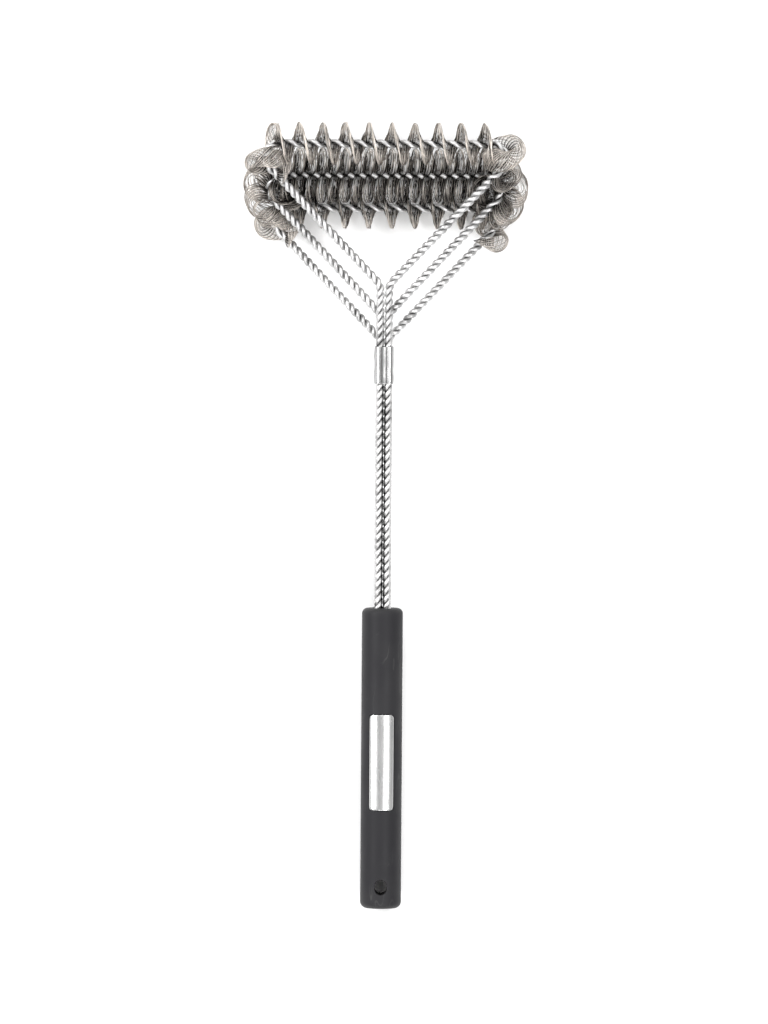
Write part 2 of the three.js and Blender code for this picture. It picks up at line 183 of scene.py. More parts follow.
class Route:
    """A line through corner points, straight between them and with an arc at each inner corner.

    Attributes:
        stretches: Its straight stretches and arcs in turn.
        middle: Distance along it to its middle.
    """

    def __init__(self, corners: Array, radii: Array, up: Array) -> None:
        """Lays the stretches one after the other.

        Args:
            corners: Corner points, the first and last of which are the route's ends.
            radii: Radius of the arc at each inner corner.
            up: Cross direction wanted on the middle stretch. It is carried without twist from there.
        """
        legs = np.diff(corners, axis=0)
        directions = unit(legs)
        turns = np.arccos(np.clip(np.sum(directions[:-1] * directions[1:], axis=1), -1, 1))
        reaches = np.concatenate([[0], radii * np.tan(turns / 2), [0]])
        lengths = np.linalg.norm(legs, axis=1) - reaches[:-1] - reaches[1:]
        self.stretches: list[Stretch] = []
        start = 0.0
        for i, direction in enumerate(directions):
            begin = corners[i] + direction * reaches[i]
            self.stretches.append(Stretch(start, lengths[i], begin, direction, up))
            start += lengths[i]
            if i < len(radii):
                inward = unit(directions[i + 1] - direction * (directions[i + 1] @ direction))
                centre = begin + direction * lengths[i] + inward * radii[i]
                arc = Stretch(start, radii[i] * turns[i], centre, direction, up, inward, radii[i])
                self.stretches.append(arc)
                start += arc.length
        self.middle = start / 2
        self._carry_up(up)

    def _carry_up(self, up: Array) -> None:
        """Carries the up direction from the middle stretch to both ends, turning it only with the arcs.

        Args:
            up: The up direction on the middle stretch.
        """
        centre = len(self.stretches) // 2
        ups = {centre: up}
        for i in range(centre, len(self.stretches) - 1):
            part = self.stretches[i]
            is_arc = part.inward is not None
            ups[i + 1] = part.turn(ups[i], np.array([part.length / part.radius]))[0] if is_arc else ups[i]
        for i in range(centre - 1, -1, -1):
            part = self.stretches[i]
            is_arc = part.inward is not None
            after = ups[i + 1]
            ups[i] = part.turn(after, np.array([-part.length / part.radius]))[0] if is_arc else after
        self.stretches = [
            Stretch(p.start, p.length, p.point, p.direction, ups[i], p.inward, p.radius)
            for i, p in enumerate(self.stretches)
        ]

    def sample(self, distances: Array) -> tuple[Array, Array, Array]:
        """Point, direction and carried up direction along the route.

        Args:
            distances: Distances from the start of the route.

        Returns:
            Points, directions and up vectors, one row for each distance.
        """
        starts = np.array([part.start for part in self.stretches])
        index = np.clip(np.searchsorted(starts, distances, side="right") - 1, 0, len(starts) - 1)
        results = np.empty((3, len(distances), 3))
        for i, part in enumerate(self.stretches):
            chosen = index == i
            results[:, chosen] = part.sample(distances[chosen])
        return results[0], results[1], results[2]


# ------------------------------------------------------------------------------------------------------------
# Meshes
# ------------------------------------------------------------------------------------------------------------


def grid_faces(rows: int, columns: int, closed_rows: bool, closed_columns: bool) -> Array:
    """Quads of a grid of vertices, row after row.

    Args:
        rows: Number of rows.
        columns: Number of vertices in a row.
        closed_rows: Whether the last row joins the first.
        closed_columns: Whether the last column joins the first.

    Returns:
        Four vertex indices for each quad: along the row first, then on to the next row.
    """
    i, j = np.meshgrid(
        np.arange(rows if closed_rows else rows - 1),
        np.arange(columns if closed_columns else columns - 1),
        indexing="ij",
    )
    down, over = (i + 1) % rows, (j + 1) % columns
    quads = [i * columns + j, i * columns + over, down * columns + over, down * columns + j]
    return np.stack(quads, axis=-1).reshape(-1, 4)


def make_piece(name: str, vertices: Array, faces: list, smooth: bool = True) -> bpy.types.Object:
    """Puts vertices and faces into a new object at the origin.

    Args:
        name: Name of the piece.
        vertices: Points in the frame's axes.
        faces: Lists of vertex indices.
        smooth: Whether the faces are shaded smooth.

    Returns:
        The new object, linked to the scene.
    """
    mesh = bpy.data.meshes.new(name)
    mesh.from_pydata(vertices.tolist(), [], faces)
    mesh.polygons.foreach_set("use_smooth", np.full(len(mesh.polygons), smooth))
    mesh.update()
    piece = bpy.data.objects.new(name, mesh)
    bpy.context.scene.collection.objects.link(piece)
    return piece


def store(piece: bpy.types.Object, name: str, values: Array) -> None:
    """Writes a value or a vector at each vertex, for the piece's material to read.

    Args:
        piece: The piece.
        name: Name of the attribute.
        values: One number or one row of three numbers for each vertex.
    """
    kind, key = ("FLOAT_VECTOR", "vector") if values.ndim == 2 else ("FLOAT", "value")
    attribute = piece.data.attributes.new(name, kind, "POINT")
    attribute.data.foreach_set(key, values.astype(np.float32).ravel())


def close_up(piece: bpy.types.Object, sharp_degrees: float = 40) -> None:
    """Merges the doubled vertices of a closed mesh, turns its faces outwards and marks its sharp edges.

    Args:
        piece: The piece.
        sharp_degrees: Edges that turn by more than this stay sharp.
    """
    work = bmesh.new()
    work.from_mesh(piece.data)
    bmesh.ops.remove_doubles(work, verts=work.verts, dist=MERGE_DISTANCE)
    bmesh.ops.dissolve_degenerate(work, edges=work.edges, dist=DEGENERATE_LENGTH)
    bmesh.ops.recalc_face_normals(work, faces=work.faces)
    work.to_mesh(piece.data)
    work.free()
    piece.data.set_sharp_from_angle(angle=math.radians(sharp_degrees))


def tube(name: str, centres: Array, outward: Array, radius: float, sides: int, axes: BrushAxes) -> tuple:
    """A round wire carried along a line, closed at both ends.

    A point is the centre + radius (cos a N + sin a B), where N is the outward direction made square to the
    line and B is the line's direction x N.

    Args:
        name: Name of the piece.
        centres: Points of the line, in brush axes.
        outward: A direction at each point that the angle is measured from.
        radius: Radius of the wire.
        sides: Number of sides of its section.
        axes: Where the brush lies.

    Returns:
        The piece, the angle a and the distance along the line, both given for each vertex.
    """
    direction = unit(np.gradient(centres, axis=0))
    normal = unit(outward - direction * np.sum(outward * direction, axis=1, keepdims=True))
    side = np.cross(direction, normal)
    angle = 2 * np.pi * np.arange(sides) / sides
    ring = np.cos(angle)[:, None] * normal[:, None] + np.sin(angle)[:, None] * side[:, None]
    points = centres[:, None] + radius * ring
    count = len(centres)
    faces = grid_faces(count, sides, False, True).tolist()
    first_ring = np.arange(sides)
    faces += [first_ring[::-1].tolist(), (first_ring + (count - 1) * sides).tolist()]
    piece = make_piece(name, axes.place(points.reshape(-1, 3)), faces)
    steps = np.linalg.norm(np.diff(centres, axis=0), axis=1)
    along = np.repeat(np.concatenate([[0], np.cumsum(steps)]), sides)
    return piece, np.tile(angle, count), along


def square_ring(count: int) -> Array:
    """Points round the square from -1 to 1, evenly along its sides.

    Args:
        count: Points on each side.

    Returns:
        Four times that many points, starting at a corner.
    """
    step = 2 * np.arange(count) / count - 1
    ones = np.ones(count)
    sides = [(step, ones), (ones, -step), (-step, -ones), (-ones, step)]
    return np.concatenate([np.stack(side, axis=1) for side in sides])


def rounded_outline(square: Array, half_width: float, half_length: float, radius: float) -> Array:
    """Maps the square from -1 to 1 to a rectangle with round corners.

    A point is stretched to the plain rectangle, and the part of it beyond the core, which is the rectangle
    less the corner radius all round, is cut to the radius.

    Args:
        square: Points on the square's edge.
        half_width: Half the rectangle's width, along x.
        half_length: Half its length, along y.
        radius: Radius of its corners.

    Returns:
        One point on the outline for each point given.
    """
    half = np.array([half_width, half_length])
    radius = min(radius, half_width, half_length)
    plain = square * half
    core = np.clip(plain, -(half - radius), half - radius)
    beyond = plain - core
    return core + radius * beyond / np.maximum(np.linalg.norm(beyond, axis=1, keepdims=True), 1e-12)


# ------------------------------------------------------------------------------------------------------------
# Shader building
# ------------------------------------------------------------------------------------------------------------


class Shading:
    """A small hand for wiring nodes in a tree."""

    def __init__(self, tree: bpy.types.NodeTree) -> None:
        """Keeps the tree that the nodes go into."""
        self.tree = tree

    def node(self, kind: str, inputs: dict | None = None, **settings: object) -> bpy.types.Node:
        """Adds a node.

        Args:
            kind: The node's type name.
            inputs: Values or sockets by input name or index.
            **settings: Properties of the node.

        Returns:
            The new node.
        """
        made = self.tree.nodes.new(kind)
        for key, value in settings.items():
            setattr(made, key, value)
        for key, value in (inputs or {}).items():
            if isinstance(value, bpy.types.NodeSocket):
                self.tree.links.new(value, made.inputs[key])
            else:
                made.inputs[key].default_value = value
        return made

    def math(
        self, operation: str, first: object, second: object = 0.0, clamp: bool = False
    ) -> bpy.types.NodeSocket:
        """Adds a Math node.

        Args:
            operation: What it does.
            first: Its first value or socket.
            second: Its second value or socket.
            clamp: Whether the result is held between 0 and 1.

        Returns:
            The result.
        """
        inputs = {0: first, 1: second}
        return self.node("ShaderNodeMath", inputs, operation=operation, use_clamp=clamp).outputs[0]

    def texture(
        self, kind: str, vector: object, scale: object, detail: float | None = None
    ) -> bpy.types.Node:
        """Adds a noise or cell texture.

        Args:
            kind: The node's type name.
            vector: Where it is read.
            scale: Its scale, a value or a socket.
            detail: Its detail, or None where it has no such input.

        Returns:
            The node.
        """
        inputs = {"Vector": vector, "Scale": scale}
        return self.node(kind, inputs if detail is None else {**inputs, "Detail": detail})

    def attribute(self, name: str) -> bpy.types.Node:
        """Reads an attribute of the piece, by its name."""
        return self.node("ShaderNodeAttribute", attribute_name=name)

    def span(
        self, value: object, low: float, high: float, to_low: float, to_high: float
    ) -> bpy.types.NodeSocket:
        """Maps a value from one span to another and holds it inside that.

        Args:
            value: The value or socket.
            low: Lower end of the span that it comes from.
            high: Upper end of that span.
            to_low: What the lower end becomes.
            to_high: What the upper end becomes.

        Returns:
            The mapped value.
        """
        inputs = {"Value": value, "From Min": low, "From Max": high, "To Min": to_low, "To Max": to_high}
        return self.node("ShaderNodeMapRange", inputs).outputs["Result"]

    def mix(self, share: object, first: object, second: object) -> bpy.types.NodeSocket:
        """Mixes two colours.

        Args:
            share: Share of the second, from 0 to 1.
            first: The first colour.
            second: The second colour.

        Returns:
            The mixed colour.
        """
        inputs = {"Factor": share, "A": first, "B": second}
        made = self.tree.nodes.new("ShaderNodeMix")
        made.data_type = "RGBA"
        for key, value in inputs.items():
            socket = next(s for s in made.inputs if s.name == key and s.enabled)
            if isinstance(value, bpy.types.NodeSocket):
                self.tree.links.new(value, socket)
            else:
                socket.default_value = value
        return next(s for s in made.outputs if s.enabled)


def grey(value: float, warmth: float = 0.0) -> tuple[float, float, float, float]:
    """A grey in linear colour, a little redder and less blue by its warmth."""
    return (value * (1 + warmth), value, value * (1 - warmth), 1.0)


def new_group(name: str, inputs: dict[str, tuple], outputs: dict[str, str]) -> tuple:
    """Starts a shader node group.

    Args:
        name: Name of the group.
        inputs: Socket type and default value by name.
        outputs: Socket type by name.

    Returns:
        The group's tree, a Shading for it, its input node and its output node.
    """
    tree = bpy.data.node_groups.new(name, "ShaderNodeTree")
    for key, (kind, default) in inputs.items():
        socket = tree.interface.new_socket(key, in_out="INPUT", socket_type=kind)
        if default is not None:
            socket.default_value = default
    for key, kind in outputs.items():
        tree.interface.new_socket(key, in_out="OUTPUT", socket_type=kind)
    return tree, Shading(tree), tree.nodes.new("NodeGroupInput"), tree.nodes.new("NodeGroupOutput")


FLOAT, VECTOR = "NodeSocketFloat", "NodeSocketVector"


def drawn_lines_group() -> bpy.types.NodeTree:
    """Fine lines that drawing or brushing leaves in metal.

    Two noises, stretched along the third axis of the vector, are laid over each other: a broad one that
    varies the polish and a fine one that cuts the lines.

    Returns:
        The group, with a line height and a polish mask as outputs.
    """
    inputs = {"Vector": (VECTOR, None), "Fineness": (FLOAT, 4000.0), "Stretch": (FLOAT, 0.02)}
    tree, s, given, out = new_group("drawn_lines", inputs, {"Lines": FLOAT, "Polish": FLOAT})
    vector, fineness = given.outputs["Vector"], given.outputs["Fineness"]
    stretch = s.node("ShaderNodeCombineXYZ", {"X": 1.0, "Y": 1.0, "Z": given.outputs["Stretch"]}).outputs[0]
    drawn = s.node("ShaderNodeVectorMath", {0: vector, 1: stretch}, operation="MULTIPLY").outputs[0]
    fine = s.texture("ShaderNodeTexNoise", drawn, fineness, 3.0)
    broad = s.texture("ShaderNodeTexNoise", drawn, s.math("MULTIPLY", fineness, 0.12), 2.0)
    tree.links.new(fine.outputs["Fac"], out.inputs["Lines"])
    tree.links.new(broad.outputs["Fac"], out.inputs["Polish"])
    return tree


def handling_marks_group() -> bpy.types.NodeTree:
    """Small scuffs and dull patches from handling.

    Thin scratches are the places where a stretched noise crosses its middle value, kept only inside the
    patches of a broad noise.

    Returns:
        The group, with a scratch mask and a patch mask as outputs.
    """
    inputs = {"Vector": (VECTOR, None), "Scale": (FLOAT, 300.0), "Width": (FLOAT, 0.012)}
    tree, s, given, out = new_group("handling_marks", inputs, {"Scratches": FLOAT, "Patches": FLOAT})
    vector, scale = given.outputs["Vector"], given.outputs["Scale"]
    mapping = {"Vector": vector, "Rotation": (0.3, 0.2, 0.5), "Scale": (1, 0.2, 1)}
    turned = s.node("ShaderNodeMapping", mapping).outputs["Vector"]
    lines = s.texture("ShaderNodeTexNoise", turned, scale, 1.0)
    from_middle = s.math("ABSOLUTE", s.math("SUBTRACT", lines.outputs["Fac"], 0.5))
    thin = s.math("LESS_THAN", from_middle, given.outputs["Width"])
    broad = s.texture("ShaderNodeTexNoise", vector, s.math("MULTIPLY", scale, 0.25), 3.0)
    patches = s.span(broad.outputs["Fac"], 0.5, 0.65, 0.0, 1.0)
    tree.links.new(s.math("MULTIPLY", thin, patches), out.inputs["Scratches"])
    tree.links.new(patches, out.inputs["Patches"])
    return tree


def moulded_grain_group() -> bpy.types.NodeTree:
    """Fine spark-eroded grain of a moulded plastic.

    Small cells are laid over a cloud of noise, and a slow noise changes the gloss.

    Returns:
        The group, with a height and a gloss mask as outputs.
    """
    inputs = {"Vector": (VECTOR, None), "Scale": (FLOAT, 2500.0)}
    tree, s, given, out = new_group("moulded_grain", inputs, {"Height": FLOAT, "Gloss": FLOAT})
    vector, scale = given.outputs["Vector"], given.outputs["Scale"]
    cells = s.texture("ShaderNodeTexVoronoi", vector, scale)
    cloud = s.texture("ShaderNodeTexNoise", vector, s.math("MULTIPLY", scale, 0.45), 5.0)
    height = s.math("ADD", s.math("MULTIPLY", cells.outputs["Distance"], 0.6), cloud.outputs["Fac"])
    slow = s.texture("ShaderNodeTexNoise", vector, s.math("MULTIPLY", scale, 0.02), 2.0)
    tree.links.new(height, out.inputs["Height"])
    tree.links.new(slow.outputs["Fac"], out.inputs["Gloss"])
    return tree


@dataclass(frozen=True)
class SharedEffects:
    """The node groups that several finishes use."""

    drawn_lines: bpy.types.NodeTree
    handling_marks: bpy.types.NodeTree
    moulded_grain: bpy.types.NodeTree

    @classmethod
    def build(cls) -> "SharedEffects":
        """Builds each group once."""
        return cls(drawn_lines_group(), handling_marks_group(), moulded_grain_group())


class Space(Enum):
    """Where a finish takes its coordinates from."""

    OBJECT = "object"
    WIRE = "wire_space"


def new_material(name: str) -> tuple[bpy.types.Material, Shading, bpy.types.Node]:
    """Starts a material.

    Args:
        name: Name of the material.

    Returns:
        The material, a Shading for its tree and its main shader.
    """
    material = bpy.data.materials.new(name)
    material.use_nodes = True
    return material, Shading(material.node_tree), material.node_tree.nodes["Principled BSDF"]


def coordinates(s: Shading, space: Space) -> bpy.types.NodeSocket:
    """Coordinates of a point in the object's axes, or along and round the wire that it belongs to.

    Args:
        s: The material's Shading.
        space: Which of the two.

    Returns:
        The coordinates.
    """
    if space is Space.OBJECT:
        return s.node("ShaderNodeTexCoord").outputs["Object"]
    return s.attribute(space.value).outputs["Vector"]


def use_group(s: Shading, tree: bpy.types.NodeTree, inputs: dict) -> bpy.types.Node:
    """Places a shared group in a material with the material's own values.

    Args:
        s: The material's Shading.
        tree: The group.
        inputs: Values or sockets by input name.

    Returns:
        The group's node.
    """
    made = s.tree.nodes.new("ShaderNodeGroup")
    made.node_tree = tree
    for key, value in inputs.items():
        if isinstance(value, bpy.types.NodeSocket):
            s.tree.links.new(value, made.inputs[key])
        else:
            made.inputs[key].default_value = value
    return made


def wire_up(
    s: Shading, shader: bpy.types.Node, colour: object, roughness: object, height: object, depth: float
) -> None:
    """Joins colour, roughness and a bump to the main shader.

    Args:
        s: The material's Shading.
        shader: Its main shader.
        colour: Socket with the colour.
        roughness: Socket with the roughness.
        height: Socket with the height of the surface, from 0 to 1.
        depth: What a height of 1 means, in metres.
    """
    bump = s.node("ShaderNodeBump", {"Height": height, "Strength": 1.0, "Distance": depth})
    for key, socket in {"Base Color": colour, "Roughness": roughness, "Normal": bump.outputs[0]}.items():
        s.tree.links.new(socket, shader.inputs[key])


@dataclass(frozen=True)
class SteelFinish:
    """A steel surface with drawn lines, small marks, and painted shade where an attribute marks it.

    Attributes:
        name: Name of the finish.
        bright: Reflectance of the clean metal.
        dull: Reflectance where it is dull: in worn patches, and where shade is painted.
        warmth: How far the colour leans to red and away from blue.
        polish: Lowest and highest roughness.
        space: Coordinates that the lines follow.
        fineness: Lines in a metre.
        stretch: How much longer the lines are than wide, as a share.
        depth: Depth of the lines.
        shade: Attribute of painted shade, 1 where the colour is darkened to stand in for shade, or nothing.
        tone: Attribute that shifts the tone from ring to ring, or nothing.
        unevenness: How strongly patches and streaks change the tone.
        tone_shift: How far the tone attribute takes the colour towards bright or dull.
        edge_tint: How bright the metal stays where it is seen at a grazing angle.
    """

    name: str
    bright: float
    dull: float
    warmth: float
    polish: tuple[float, float]
    space: Space
    fineness: float
    stretch: float
    depth: float
    shade: str = ""
    tone: str = ""
    unevenness: float = 1.0
    tone_shift: float = 0.34
    edge_tint: float = 0.45

    def material(self, effects: SharedEffects) -> bpy.types.Material:
        """Builds the material from the shared effects.

        Args:
            effects: The shared node groups.

        Returns:
            The material.
        """
        made, s, shader = new_material(self.name)
        where = coordinates(s, self.space)
        if self.space is Space.OBJECT:
            upright = (math.pi / 2, 0, 0)
            where = s.node("ShaderNodeMapping", {"Vector": where, "Rotation": upright}).outputs["Vector"]
        drawing = {"Vector": where, "Fineness": self.fineness, "Stretch": self.stretch}
        lines = use_group(s, effects.drawn_lines, drawing)
        marks = use_group(s, effects.handling_marks, {"Vector": coordinates(s, Space.OBJECT)})
        patches, streaks = 0.35 * self.unevenness, 0.12 * self.unevenness
        dulling_and_painted_shade = s.math("MULTIPLY", marks.outputs["Patches"], patches)
        # Painted shade: the shade attribute takes the colour towards the dull grey.
        if self.shade:
            shade = s.attribute(self.shade).outputs["Fac"]
            dulling_and_painted_shade = s.math("ADD", dulling_and_painted_shade, shade, clamp=True)
        tint = s.span(lines.outputs["Polish"], 0.3, 0.7, -streaks, streaks)
        if self.tone:
            shift = s.attribute(self.tone).outputs["Fac"]
            tint = s.math("ADD", tint, s.span(shift, 0.0, 1.0, -self.tone_shift, self.tone_shift))
        share = s.math("ADD", dulling_and_painted_shade, tint, clamp=True)
        dull_warmth = 1.5 * self.warmth
        colour = s.mix(share, grey(self.bright, self.warmth), grey(self.dull, dull_warmth))
        worn = s.math("MAXIMUM", lines.outputs["Polish"], marks.outputs["Scratches"])
        roughness = s.span(worn, 0.3, 0.75, *self.polish)
        wire_up(s, shader, colour, roughness, lines.outputs["Lines"], self.depth)
        shader.inputs["Metallic"].default_value = 1.0
        shader.inputs["Specular Tint"].default_value = grey(self.edge_tint)
        return made


@dataclass(frozen=True)
class PlasticFinish:
    """A moulded or cast plastic with fine grain.

    Attributes:
        name: Name of the finish.
        colour: Linear colour.
        worn: Colour of the scuffs and of the rubbed edges.
        polish: Lowest and highest roughness.
        grain: Grains in a metre.
        depth: Depth of the grain.
        shade: Attribute that is 1 on edges that hands rub, or nothing.
        specular_level: Strength of its reflections, where 0.5 is a usual plastic.
        scuffs: Scuffs in a metre.
        scratch_wear: How far scratches take the colour towards the worn one.
        patch_wear: How far patches do.
        edge_wear: How far rubbed edges do.
    """

    name: str
    colour: tuple[float, float, float, float]
    worn: tuple[float, float, float, float]
    polish: tuple[float, float]
    grain: float
    depth: float
    shade: str = ""
    specular_level: float = 0.13
    scuffs: float = 120.0
    scratch_wear: float = 0.5
    patch_wear: float = 0.12
    edge_wear: float = 0.5

    def material(self, effects: SharedEffects) -> bpy.types.Material:
        """Builds the material from the shared effects.

        Args:
            effects: The shared node groups.

        Returns:
            The material.
        """
        made, s, shader = new_material(self.name)
        where = coordinates(s, Space.OBJECT)
        grain = use_group(s, effects.moulded_grain, {"Vector": where, "Scale": self.grain})
        scuffing = {"Vector": where, "Scale": self.scuffs, "Width": 0.006}
        marks = use_group(s, effects.handling_marks, scuffing)
        worn = s.math("MULTIPLY", marks.outputs["Scratches"], self.scratch_wear)
        worn = s.math("ADD", worn, s.math("MULTIPLY", marks.outputs["Patches"], self.patch_wear))
        if self.shade:
            rubbed = s.attribute(self.shade).outputs["Fac"]
            worn = s.math("ADD", worn, s.math("MULTIPLY", rubbed, self.edge_wear), clamp=True)
        colour = s.mix(worn, self.colour, self.worn)
        roughness = s.span(grain.outputs["Gloss"], 0.35, 0.65, *self.polish)
        wire_up(s, shader, colour, roughness, grain.outputs["Height"], self.depth)
        shader.inputs["Specular IOR Level"].default_value = self.specular_level
        return made


# ------------------------------------------------------------------------------------------------------------
# Sub-assemblies
# ------------------------------------------------------------------------------------------------------------


class Tier(Enum):
    """The three heads, by how far they are from the grip, with their level from the middle one."""

    NEAR = -1
    MIDDLE = 0
    FAR = 1


@dataclass
class Stem:
    """Sizes that the heads, the ferrules and the grip share.

    Attributes:
        axes: Where the brush lies.
        wire: Diameter of a core wire.
        rope: Diameter of a twisted pair.
        rope_lay: Length of one twist of a pair on the arms and legs.
        leg_spacing: Between the axes of neighbouring legs.
        ferrule_bottom: Height of the stem ferrule's lower end.
        ferrule_top: Height of its upper end.
        leg_end: Height of the ends of the legs, inside the grip.
    """

    axes: BrushAxes
    wire: float = 2.5 * MM
    rope_lay: float = 9.15 * MM
    rope: float = field(init=False)
    leg_spacing: float = field(init=False)
    ferrule_bottom: float = field(init=False)
    ferrule_top: float = field(init=False)
    leg_end: float = field(init=False)

    def __post_init__(self) -> None:
        """Reads the heights off the CAD nodes."""
        self.rope = 2 * self.wire
        self.leg_spacing = self.rope
        low, high = self.axes.span("stem_ferrule")
        self.ferrule_bottom, self.ferrule_top = low[1], high[1]
        self.leg_end = self.axes.span("far_head_core_wire_a")[0][1]


@dataclass(frozen=True)
class Wobble:
    """A smooth random value that changes from ring to ring.

    Attributes:
        seed: Seed of the draw.
        spread: How far the values spread.
        window: Over how many rings they are smoothed.
    """

    seed: int
    spread: float
    window: int


@dataclass
class Head:
    """One head: two core wires twisted together and the coil of fine wire in their twist.

    Attributes:
        stem: The shared sizes.
        tier: Which head it is.
        half_width: From the stem axis to where core and arm would meet in a sharp corner.
        bend_rise: Bend of the arm above the stem ferrule.
        bend_radius: Radius of that bend.
        coils: Half turns by which each coil is ahead of the far one, by the coil's name.
        coil_radius: Outer radius of the coil.
        coil_lay: Length of one twist under the coil.
        spike_offset: From the middle of the core to the nearest spike that stands straight up.
        corner_radius: Radius of the core where it turns into an arm.
        fine_wire: Diameter of the coil's wire.
        ring_pitch: Distance from one ring to the next along the straight core.
        corner_pitch: The same distance round the corners, where the rings are pushed together.
        tail: Length of the coil on an arm, past the corner.
        tilt: Lean of the rings from square to the core.
        ring_width: Width of a ring as a share of its height above the core.
        combed_growth: How much taller the combed rings are where they stand straight up or down, as a share.
        leg_step: Turns by which each head's legs are ahead of the next head's.
        corner_tilt: Further lean of the rings round the corners.
        corner_loose: Share of the rings' disorder that is left round the corners.
        pairing: Over how many rings they crowd together and part again round the corners.
        crowding: How far they move along the core as they do so.
        bunching: Disorder of the rings' places along the core.
        stretching: Disorder of their radius, as a share of it.
        leaning: Disorder of their lean.
        swinging: Disorder of their sideways swing, as a share of their height.
        splaying: Disorder of their lean along the core, as a share of their height.
        wire_sides: Sides of a core wire's section.
        ring_segments: Segments in a ring of the coil.
        ring_sides: Sides of the fine wire's section.
        cad_coil_radius: Radius of the coils' CAD nodes.
        cad_pair_radius: Radius of the twisted pairs' CAD nodes.
        route: Line of the core pair, from the end of one leg to the end of the other.
        straight: Half the length of the straight core.
        reach: From the middle of the core to the end of the coil.
        arm_end: From the middle of the core to the lower end of an arm.
    """

    stem: Stem
    tier: Tier
    half_width: float
    bend_rise: float
    bend_radius: float
    coils: dict[str, int]
    coil_radius: float = 12.4 * MM
    coil_lay: float = 13.4 * MM
    spike_offset: float = 3.7 * MM
    corner_radius: float = 8.2 * MM
    fine_wire: float = 0.34 * MM
    ring_pitch: float = 0.4 * MM
    corner_pitch: float = 0.225 * MM
    tail: float = 5.0 * MM
    tilt: float = math.radians(10)
    ring_width: float = 1.4
    combed_growth: float = 0.28
    leg_step: float = 0.09
    corner_tilt: float = math.radians(46)
    corner_loose: float = 0.08
    pairing: float = 3.0
    crowding: float = 0.07 * MM
    bunching: Wobble = Wobble(23, 0.12 * MM, 2)
    stretching: Wobble = Wobble(31, 0.012, 3)
    leaning: Wobble = Wobble(47, 0.03, 2)
    swinging: Wobble = Wobble(59, 0.015, 3)
    splaying: Wobble = Wobble(83, 0.03, 2)
    wire_sides: int = 14
    ring_segments: int = 28
    ring_sides: int = 4
    cad_coil_radius: float = 12.45 * MM
    cad_pair_radius: float = 2.45 * MM
    route: Route = field(init=False)
    straight: float = field(init=False)
    reach: float = field(init=False)
    arm_end: float = field(init=False)

    def __post_init__(self) -> None:
        """Lays the route of the core pair and measures how far the coil reaches along it."""
        level = self.tier.value
        far_core = self._core_place(Tier.FAR)
        near_core = self._core_place(Tier.NEAR)
        core = (far_core + near_core) / 2 + level * (far_core - near_core) / 2
        spacing = self.stem.leg_spacing
        bend_height = self.stem.ferrule_top + self.bend_rise
        half = np.array([
            [spacing / 2, self.stem.leg_end, level * spacing],
            [spacing / 2, bend_height, level * spacing],
            [self.half_width, core[0], core[1]],
        ])
        mirror = np.array([-1.0, 1.0, 1.0])
        corners = np.concatenate([half * mirror, half[::-1]])
        radii = np.array([self.bend_radius, self.corner_radius, self.corner_radius, self.bend_radius])
        self.route = Route(corners, radii, np.array([0.0, 1.0, 0.0]))
        core_stretch, corner = self.route.stretches[4], self.route.stretches[5]
        self.straight = core_stretch.length / 2
        self.reach = self.straight + corner.length + self.tail
        self.arm_end = self.route.stretches[7].start - self.route.middle

    def _core_place(self, tier: Tier) -> Array:
        """Height and depth of the axis of the far or the near head's core, from its CAD nodes.

        The far one is a coil's radius inside the highest and outermost points of its coil. The near one is a
        coil's radius inside the innermost point of its coil, and a pair's radius below the top of its wires.

        Args:
            tier: Which of the two heads.

        Returns:
            The height and the depth.
        """
        low, high = self.stem.axes.span(f"{tier.name.lower()}_head_coil")
        if tier is Tier.FAR:
            return np.array([high[1] - self.cad_coil_radius, high[2] - self.cad_coil_radius])
        tops = [self.stem.axes.span(f"near_head_core_wire_{letter}")[1][1] for letter in "ab"]
        return np.array([max(tops) - self.cad_pair_radius, low[2] + self.cad_coil_radius])

    def twist(self, from_middle: Array) -> Array:
        """Twist of the pair, measured from straight up: quick under the coil and slower beyond it.

        On the arms it is stretched a little, so that the legs of all three heads reach the ferrule in step.

        Args:
            from_middle: Distances from the middle of the core.

        Returns:
            Angles in radians.
        """
        lay = self.stem.rope_lay
        knots, turns = [], []
        for sign in (-1, 1):
            at_reach = (sign * self.reach - self.spike_offset) / self.coil_lay
            on_arm = sign * (self.arm_end - self.reach) / lay
            in_step = round(2 * (at_reach + on_arm)) / 2 + self.tier.value * self.leg_step
            end = sign * self.route.middle
            knots += [sign * self.reach, sign * self.arm_end, end]
            turns += [at_reach, in_step, in_step + (end - sign * self.arm_end) / lay]
        order = np.argsort(knots)
        return 2 * np.pi * np.interp(from_middle, np.array(knots)[order], np.array(turns)[order])

    def cross_directions(
        self, from_middle: Array, half_turns: int = 0, combed_back: bool = False
    ) -> tuple[Array, Array, Array, Array]:
        """Point, direction, and the two directions that turn with the twist.

        The angle from straight up is the twist itself. Where the rings are combed to the back of the core it
        swings from up to down behind the core instead, by a quarter turn x (1 - cos twist).

        Args:
            from_middle: Distances from the middle of the core.
            half_turns: Half turns to go ahead of the twist.
            combed_back: Whether the rings are combed to the back of the core.

        Returns:
            Points, directions, the direction out of the core to the coil, and the one square to both.
        """
        point, direction, up = self.route.sample(from_middle + self.route.middle)
        side = np.cross(direction, up)
        angle = self.twist(from_middle)[:, None] + np.pi * half_turns
        if combed_back:
            angle = -(np.pi / 2) * (1 - np.cos(angle))
        out = up * np.cos(angle) + side * np.sin(angle)
        return point, direction, out, np.cross(direction, out)

